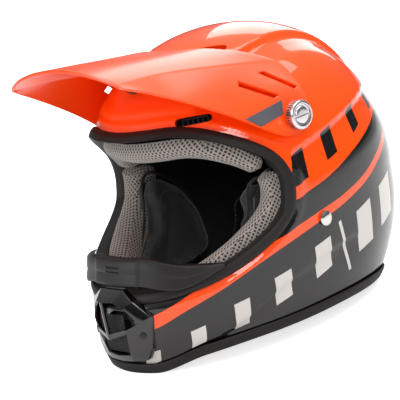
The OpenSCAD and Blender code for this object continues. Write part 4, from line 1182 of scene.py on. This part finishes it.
class HELMET_OT_mouthpiece(bpy.types.Operator):
    """Make the gloss chin intake with its central rib, and the woven mesh behind it"""
    bl_idname = "helmet.mouthpiece"
    bl_label = "Mouthpiece"

    def execute(self, context):
        spots = {
            "top0": (0, 0.30), "top1": (14, 0.298), "top2": (26, 0.262), "top3": (38, 0.205),
            "under0": (1.8, 0.272), "under1": (11, 0.27), "under2": (19, 0.245), "under3": (30, 0.19),
            "bridge0": (1.8, 0.158), "bridge1": (19, 0.172), "foot0": (0, 0.138), "foot1": (19, 0.158),
            "side1": (38, 0.185), "side2": (35, 0.095), "cheek1": (15, 0.078), "chin1": (14, 0.052),
            "chin2": (29, 0.058), "lip0": (0, 0.073), "chin0": (0, 0.048), "mid0": (0, 0.272), "mid1": (0, 0.158),
        }
        panels = [("top0", "top1", "under1", "under0", "mid0"), ("top1", "top2", "under2", "under1"),
                  ("top2", "top3", "under3", "under2"), ("bridge0", "bridge1", "foot1", "foot0", "mid1"),
                  ("bridge1", "under3", "top3", "side1", "foot1"), ("foot1", "side1", "side2", "cheek1"),
                  ("cheek1", "side2", "chin2", "chin1"), ("lip0", "cheek1", "chin1", "chin0"),
                  ("mid0", "under0", "bridge0", "mid1")]
        names = list(spots)
        points = np.array([mouth_point(*spots[name]) for name in names])
        # The outer edge turns back to the shell
        rim = ["top0", "top1", "top2", "top3", "side1", "side2", "chin2", "chin1", "chin0"]
        back = np.array([mouth_point(*spots[name]) + [0, 5.0, 0] for name in rim])
        faces = [[names.index(name) for name in panel] for panel in panels]
        for i, (a, b) in enumerate(zip(rim, rim[1:])):
            faces.append([names.index(a), names.index(b), len(names) + i + 1, len(names) + i])
        part = both_sides((np.concatenate([points, back]), faces))
        intake = make_piece("chin_intake", *part, finish("gloss_black_plastic"), 20)
        wall = intake.modifiers.new("wall", "SOLIDIFY")
        wall.thickness = 2.4 * MM
        wall.offset = -1 if intake.data.polygons[0].normal.y < 0 else 1
        round_edges(intake, 0.7, 12, 3)
        settle(intake, 30)
        hand_over(intake, "helmet", "gloss_black_plastic", "mouthpiece")

        corners = np.array([mouth_point(*spots[name]) for name in ("foot1", "side1", "side2")])
        normal = unit(np.cross(corners[1] - corners[0], corners[2] - corners[0])[None])[0]
        normal = normal * -np.sign(normal[1])
        seat = corners.mean(axis=0)
        head = placed(turned([(1.5, -4), (1.5, -1.2), (3, 0.2), (2.8, 0.7), (1.3, 0.9)], 32), seat, normal)
        screws = make_piece("mouthpiece_screw_pair", *both_sides(head), finish("dark_steel"), 30)
        hand_over(screws, "helmet", "dark_steel", "mouthpiece_screws")

        wire = finish("black_mesh")
        low, high = (np.array(corner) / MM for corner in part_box("mouthpiece_mesh"))
        inner = low[1] + 2.6
        across = np.linspace(low[0], high[0], 19)
        upward = np.linspace(low[2], high[2], 20)
        weave = 0.35
        paths = []
        for i, x in enumerate(across):
            paths.append(([(x, mesh_y(x, z, inner) + weave * (-1) ** (i + j), z) for j, z in enumerate(upward)], False))
        for j, z in enumerate(upward):
            paths.append(([(x, mesh_y(x, z, inner) - weave * (-1) ** (i + j), z) for i, x in enumerate(across)], False))
        mesh = path_piece("intake_mesh", paths, wire)
        run_tree(mesh, wire_tree(wire), {"Wire radius": 0.00042})
        hand_over(mesh, "helmet", "black_mesh", "mouthpiece_mesh")
        return {"FINISHED"}


def mesh_y(x, z, inner):
    """Depth of the intake's mesh, which leans with the chin."""
    return inner - 1.5 * math.sin(math.pi * (z - 18) / 36)


# ---- Visor ----
def visor_rows():
    """The visor's half, as rows of points from the middle to the lower edge, front to back."""
    seat_x = side_x(PIVOT_Y, PIVOT_Z) + 5.3
    arm_x = float(seat_x) + 1 + 1.3
    return np.array([
        [(0, -135, 255), (18, -134.8, 254.2), (34, -134, 252), (48, -133.3, 249), (60, -132, 245.5), (73, -129, 239.5),
         (73.6, -128.5, 238.4), (74, -128, 237.6), (74.4, -127.5, 236.8)],
        [(0, -116, 252.3), (18, -116, 251.6), (35, -116, 249.6), (49, -115, 246.6), (61, -114, 242.8), (71, -113, 238.6),
         (75, -114, 236.6), (79, -116, 234.4), (81.5, -118, 232.6)],
        [(0, -96, 249.4), (18, -96, 248.8), (36, -96, 247), (49, -96, 244.2), (60, -96, 240.8), (70.5, -96, 237),
         (76, -98, 233), (82, -102, 228.5), (86, -104, 225)],
        [(0, -64, 244.2), (19, -64, 243.7), (38, -64, 242.4), (51, -64, 240), (63, -64, 236.6), (74.5, -65, 231.8),
         (83, -64, 222), (92, -62, 209), (98.5, -61, 198)],
        [(0, -40, 239.8), (20, -38, 239.4), (40, -35, 238.4), (53, -34, 235.6), (65, -34, 231.6), (77, -36, 226),
         (87, -34, 212), (98, -33, 194), (107, -34, 177)],
        [(0, -26, 237.5), (20, -22, 237), (41, -13, 235.5), (54, -10, 232), (66, -9, 227.8), (78.5, -10, 220.5),
         (90, -10, 206), (103, -10, 188), (arm_x, -14, 160)],
        [(0, -24.6, 236.6), (20, -20.6, 236.1), (41.5, -11.6, 234.6), (54.5, -5, 231), (67, 6, 226.2), (81, 19, 213.5),
         (91, 15, 203), (104, 12, 188), (arm_x, 6, 158)],
        [(0, -24, 235.2), (20, -20, 234.7), (42, -11, 233.2), (55, -4, 229.6), (68, 7.5, 224.6), (82, 23, 212),
         (92, 25.5, 200), (104, 24, 187), (arm_x, 19, 170)],
    ], float)


CREASE_COLUMN = 5


class HELMET_OT_visor(bpy.types.Operator):
    """Make the visor: creased panels with slots, and its printed film"""
    bl_idname = "helmet.visor"
    bl_label = "Visor"

    def execute(self, context):
        rows = visor_rows()
        count, columns = rows.shape[:2]
        part = both_sides((rows.reshape(-1, 3), loft_faces(count, columns, ring=False)))
        visor = make_piece("visor_peak", *part, finish("visor_plastic"), 180)
        crease_panels(visor, rows)
        finer = visor.modifiers.new("finer", "SUBSURF")
        finer.levels = finer.render_levels = 3
        wall = visor.modifiers.new("wall", "SOLIDIFY")
        wall.thickness = context.scene.helmet_sizes.visor_wall * MM
        wall.offset = 0
        settle(visor)
        cut_away(visor, *both_sides(joined(visor_cutters())))
        face_outwards(visor.data)
        round_edges(visor, 0.6, 40, 2)
        settle(visor, 32)
        hand_over(visor, "visor_assembly", "visor_plastic", "visor")
        film_points = np.array([(108, -42.6, 186.6), (104, -0.8, 188), (110, -6, 178.7), (112, -32, 177)])
        film = make_film(visor, film_points)
        hand_over(film, "visor_assembly", "visor_plastic")
        return {"FINISHED"}


def crease_panels(visor, rows):
    """Marks the long creases between the plateau and the side panels, and the tip corners, as sharp."""
    work = bmesh.new()
    work.from_mesh(visor.data)
    layer = work.edges.layers.float.new("crease_edge")
    crease = rows[:, CREASE_COLUMN] * MM
    for edge in work.edges:
        ends = [np.array([abs(v.co.x), v.co.y, v.co.z]) for v in edge.verts]
        gaps = [np.linalg.norm(crease - end, axis=1).min() for end in ends]
        if max(gaps) < 1e-4:
            edge[layer] = 0.85
        elif edge.is_boundary:
            edge[layer] = 0.6
    work.to_mesh(visor.data)
    work.free()


def quad_cutter(corners, direction, inward, out):
    """Prism through four corners, along a direction."""
    corners, direction = np.array(corners, float), unit(np.array(direction, float))
    return closed_loft([corners - direction * inward, corners + direction * out])


def visor_cutters():
    side = (0.86, 0.05, 0.5)
    slot_1 = [(88, -26.5, 212), (98, 0, 190), (99, -6.7, 189.6), (90, -30, 207.5)]
    slot_2 = [(86, -4, 211), (85, 2.4, 210), (97, 21, 190.5), (98, 16.6, 189.4)]
    return [quad_cutter(slot_1, side, 14, 14), quad_cutter(slot_2, side, 14, 14)]


def make_film(visor, corners):
    """A thin printed film laid on the visor's side, by casting a small grid onto it."""
    steps = 12
    grid, faces = [], loft_faces(steps, steps, ring=False)
    graph = bpy.context.evaluated_depsgraph_get()
    bpy.context.view_layer.update()
    cast = visor.evaluated_get(graph)
    a, b, c, d = corners
    toward = Vector((-0.93, 0, -0.37))
    for j in range(steps):
        for i in range(steps):
            u, v = i / (steps - 1), j / (steps - 1)
            spot = (a * (1 - u) + b * u) * (1 - v) + (d * (1 - u) + c * u) * v
            start = Vector(spot * MM) - toward * 0.03
            found, place, normal, _ = cast.ray_cast(start, toward)
            if not found:
                raise RuntimeError("the printed film misses the visor")
            grid.append(np.array(place + normal * 0.00025) / MM)
    part = both_sides((np.array(grid), faces))
    film = make_piece("visor_film", *part, finish("printed_film"), 60)
    wall = film.modifiers.new("film", "SOLIDIFY")
    wall.thickness = 0.3 * MM
    wall.offset = 0
    return settle(film, 60)


# ---- Screws, rivets and carried-over parts ----
HEAD_D = 24
HEAD_H = 4.5
COIN = 2


def screw_head(radius, height):
    """Head of a side screw: a chamfered rim, a sunk ring and a raised middle."""
    return turned([(radius * 0.3, 0), (radius - 1.2, 0), (radius - 0.6, 0.6), (radius - 0.6, height - 1.2),
                   (radius - 1.6, height - 0.2), (radius - 2.6, height), (radius - 3.2, height - 0.2),
                   (radius - 3.6, height - 1.3), (radius - 4.6, height - 1.5), (radius - 5.2, height - 0.6),
                   (radius - 6, height - 0.1), (radius * 0.3, height + 0.1)], 72)


class HELMET_OT_hardware(bpy.types.Operator):
    """Make the knurled side screws and the domed rivets"""
    bl_idname = "helmet.hardware"
    bl_label = "Screws and rivets"

    def execute(self, context):
        silver, steel = finish("screw_aluminium"), finish("polished_steel")
        for side, word in ((1, "left"), (-1, "right")):
            node = "visor_screw_" + word
            low, high = (np.array(corner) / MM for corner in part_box(node))
            centre = (low + high) / 2
            tip = high[0] if side > 0 else low[0]
            head = screw_head(HEAD_D / 2, HEAD_H)
            shank = turned([(2, -18.5), (3, -17.5), (3, -4.4), (4.5, -4.4), (4.5, 0.4), (2, 0.4)], 40)
            base = np.array([tip - side * HEAD_H, centre[1], centre[2]])
            part = placed(joined([head, shank]), (0, 0, 0), (0, 0, 1))
            screw = make_piece("side_screw_" + word, *part, silver, 30)
            slot = [quad_cutter([(-7.4, -COIN / 2, 0), (7.4, -COIN / 2, 0), (7.4, COIN / 2, 0), (-7.4, COIN / 2, 0)],
                                (0, 0, 1), -HEAD_H + 1.5, HEAD_H + 2)]
            cut_away(screw, *joined(slot))
            run_tree(screw, knurl_tree(silver), {"Ribs": context.scene.helmet_sizes.knurls,
                                                 "Radius": (HEAD_D / 2 - 0.75) * MM, "Rib width": 0.0011,
                                                 "Rib length": 0.0055}, 35)
            turn = Vector((side, 0, 0)).to_track_quat("Z", "Y").to_matrix().to_4x4()
            screw.data.transform(Matrix.Translation(Vector(base * MM)) @ turn)
            hand_over(screw, "screw_" + word, "screw_aluminium", node)

            node = "strap_rivet_" + word
            low, high = (np.array(corner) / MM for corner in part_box(node))
            tip = high[0] if side > 0 else low[0]
            foot = low[0] if side > 0 else high[0]
            length = abs(tip - foot)
            radius = (high[1] - low[1]) / 2
            profile = [(1.5, -length), (3, -length + 0.6), (3, -2), (radius - 0.8, -2.1), (radius, -1.5),
                       (radius, -0.9), (radius - 0.8, -0.5), (radius * 0.6, 0.3), (radius * 0.25, 0.6)]
            rivet = make_piece("rivet_" + word, *placed(turned(profile, 64), (tip, (low[1] + high[1]) / 2,
                               (low[2] + high[2]) / 2), (side, 0, 0)), steel, 30)
            hand_over(rivet, "helmet", "polished_steel", node)
        return {"FINISHED"}


class HELMET_OT_strap(bpy.types.Operator):
    """Make the webbing of the chin strap and its sleeves"""
    bl_idname = "helmet.strap"
    bl_label = "Chin strap"

    def execute(self, context):
        for node, name, slot, edge in (("chin_strap_left", "webbing_left", "strap_webbing", 0.5),
                                       ("chin_strap_right", "webbing_right", "strap_webbing", 0.5),
                                       ("strap_sleeve_left", "sleeve_left", "sleeve_fabric", 1.4),
                                       ("strap_sleeve_right", "sleeve_right", "sleeve_fabric", 1.4)):
            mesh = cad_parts[node].data.copy()
            strip = bpy.data.objects.new(name, mesh)
            context.scene.collection.objects.link(strip)
            mesh.materials.clear()
            mesh.materials.append(finish(slot))
            face_outwards(mesh)
            round_edges(strip, edge, 60, 3)
            settle(strip, 50)
            hand_over(strip, "buckled_strap", slot, node)
        return {"FINISHED"}


KEPT = {"impact_foam": ("eps_liner", "chin_bar_foam"),
        "black_plastic": ("cheek_plate_left", "cheek_plate_right", "cheek_snaps", "visor_bush_left",
                          "visor_bush_right", "visor_spacer_centre", "strap_snap", "forehead_grille_left",
                          "forehead_grille_right", "exhaust_grille_left", "exhaust_grille_right"),
        "dark_steel": ("visor_screw_centre",),
        "insert_brass": ("visor_insert_left", "visor_insert_right", "visor_insert_centre"),
        "polished_steel": ("strap_hanger_left", "strap_hanger_right", "d_ring_outer", "d_ring_inner")}


class HELMET_OT_carried(bpy.types.Operator):
    """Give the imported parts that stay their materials"""
    bl_idname = "helmet.carried"
    bl_label = "Packed parts"

    def execute(self, context):
        for slot, nodes in KEPT.items():
            for node in nodes:
                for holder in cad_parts[node].material_slots:
                    holder.material = finish(slot)
        return {"FINISHED"}


# ---- Stage ----
def aim(holder, at, target, size, power):
    data = bpy.data.lights.new(holder, "AREA")
    data.shape = "RECTANGLE"
    data.size, data.size_y = size
    data.energy = power
    light = bpy.data.objects.new(holder, data)
    bpy.context.scene.collection.objects.link(light)
    light.location = at
    light.rotation_euler = (Vector(target) - Vector(at)).to_track_quat("-Z", "Y").to_euler()
    return light


class HELMET_OT_stage(bpy.types.Operator):
    """Make the camera, the soft studio light and the pale floor"""
    bl_idname = "helmet.stage"
    bl_label = "Stage"

    def execute(self, context):
        scene = context.scene
        azimuth, elevation, roll = (math.radians(v) for v in (53, 14, -14.5))
        distance, lens = 1.4, 149.94
        target = Vector((0, -0.02572, 0.1087))
        back = Vector((math.sin(azimuth) * math.cos(elevation), -math.cos(azimuth) * math.cos(elevation),
                       math.sin(elevation)))
        right = Vector((math.cos(azimuth), math.sin(azimuth), 0))
        up = back.cross(right)
        level = right * math.cos(roll) + up * math.sin(roll)
        upward = -right * math.sin(roll) + up * math.cos(roll)
        data = bpy.data.cameras.new("camera")
        data.lens = lens
        data.sensor_width = 36
        camera = bpy.data.objects.new("camera", data)
        scene.collection.objects.link(camera)
        turn = Matrix((level, upward, back)).transposed().to_4x4()
        camera.matrix_world = Matrix.Translation(target + back * distance) @ turn
        scene.camera = camera

        aim("overhead", (0.3, 0.2, 1.5), (0, 0, 0.1), (1.6, 1.6), 30)
        aim("front_fill", (-0.7, -1.5, 0.55), (0, 0, 0.12), (0.5, 0.5), 9)
        aim("side_fill", (1.5, -0.9, 0.9), (0, 0, 0.1), (0.5, 0.7), 9)
        aim("rear_fill", (-0.9, 1.4, 0.9), (0, 0, 0.12), (1.0, 1.0), 8)
        world = bpy.data.worlds.new("studio")
        scene.world = world
        world.use_nodes = True
        tree = world.node_tree
        background = tree.nodes["Background"]
        path = add(tree, "ShaderNodeLightPath")
        direction = add(tree, "ShaderNodeSeparateXYZ", {0: add(tree, "ShaderNodeTexCoord").outputs["Generated"]})
        sky = add(tree, "ShaderNodeMapRange", {"Value": direction.outputs[2], "From Min": 0.0, "From Max": 1.0,
                                               "To Min": 0.06, "To Max": 0.7})
        strength = add(tree, "ShaderNodeMix", {"Factor": path.outputs["Is Camera Ray"], 2: sky, 3: 1.0})
        tree.links.new(strength.outputs[0], background.inputs["Strength"])
        background.inputs["Color"].default_value = (1, 1, 1, 1)

        size = 30.0
        corners = [(-size, -size, 0), (size, -size, 0), (size, size, 0), (-size, size, 0)]
        floor_mesh = bpy.data.meshes.new("floor")
        floor_mesh.from_pydata(corners, [], [(0, 1, 2, 3)])
        floor = bpy.data.objects.new("floor", floor_mesh)
        scene.collection.objects.link(floor)
        paper, paper_tree, paper_shader = start_material("seamless_paper", 0.9)
        fibres = grain(paper_tree, 2.0)
        two_tone(paper_tree, paper_shader, fibres.outputs[0], "#f4f4f3", "#f8f8f7")
        # The sweep glows where the camera sees it, so it stays white to the horizon
        paper_shader.inputs["Emission Color"].default_value = (1, 1, 1, 1)
        seen = add(paper_tree, "ShaderNodeLightPath").outputs["Is Camera Ray"]
        glow = add(paper_tree, "ShaderNodeMath", {0: seen, 1: 0.72}, operation="MULTIPLY")
        paper_tree.links.new(glow.outputs[0], paper_shader.inputs["Emission Strength"])
        floor_mesh.materials.append(paper)
        scene.view_settings.view_transform = "Standard"
        return {"FINISHED"}


class HELMET_PT_panel(bpy.types.Panel):
    """The helmet's groups of pieces, in the sidebar"""
    bl_idname = "HELMET_PT_panel"
    bl_label = "Helmet"
    bl_space_type = "VIEW_3D"
    bl_region_type = "UI"
    bl_category = "Helmet"

    def draw(self, context):
        layout = self.layout
        for group in (context.scene.helmet_sizes, context.scene.helmet_colours):
            for name in group.__annotations__:
                layout.prop(group, name)
        for operator in OPERATORS:
            layout.operator(operator.bl_idname)


OPERATORS = (HELMET_OT_stage, HELMET_OT_shell, HELMET_OT_trims, HELMET_OT_padding, HELMET_OT_guard,
             HELMET_OT_mouthpiece, HELMET_OT_visor, HELMET_OT_hardware, HELMET_OT_strap, HELMET_OT_carried)
CLASSES = (HelmetSizes, HelmetColours) + OPERATORS + (HELMET_PT_panel,)


def register():
    for cls in CLASSES:
        bpy.utils.register_class(cls)
    bpy.types.Scene.helmet_sizes = PointerProperty(type=HelmetSizes)
    bpy.types.Scene.helmet_colours = PointerProperty(type=HelmetColours)


def unregister():
    del bpy.types.Scene.helmet_colours
    del bpy.types.Scene.helmet_sizes
    for cls in reversed(CLASSES):
        bpy.utils.unregister_class(cls)


def main():
    register()
    for operator in OPERATORS:
        group, name = operator.bl_idname.split(".")
        getattr(getattr(bpy.ops, group), name)()


if __name__ == "__main__":
    main()
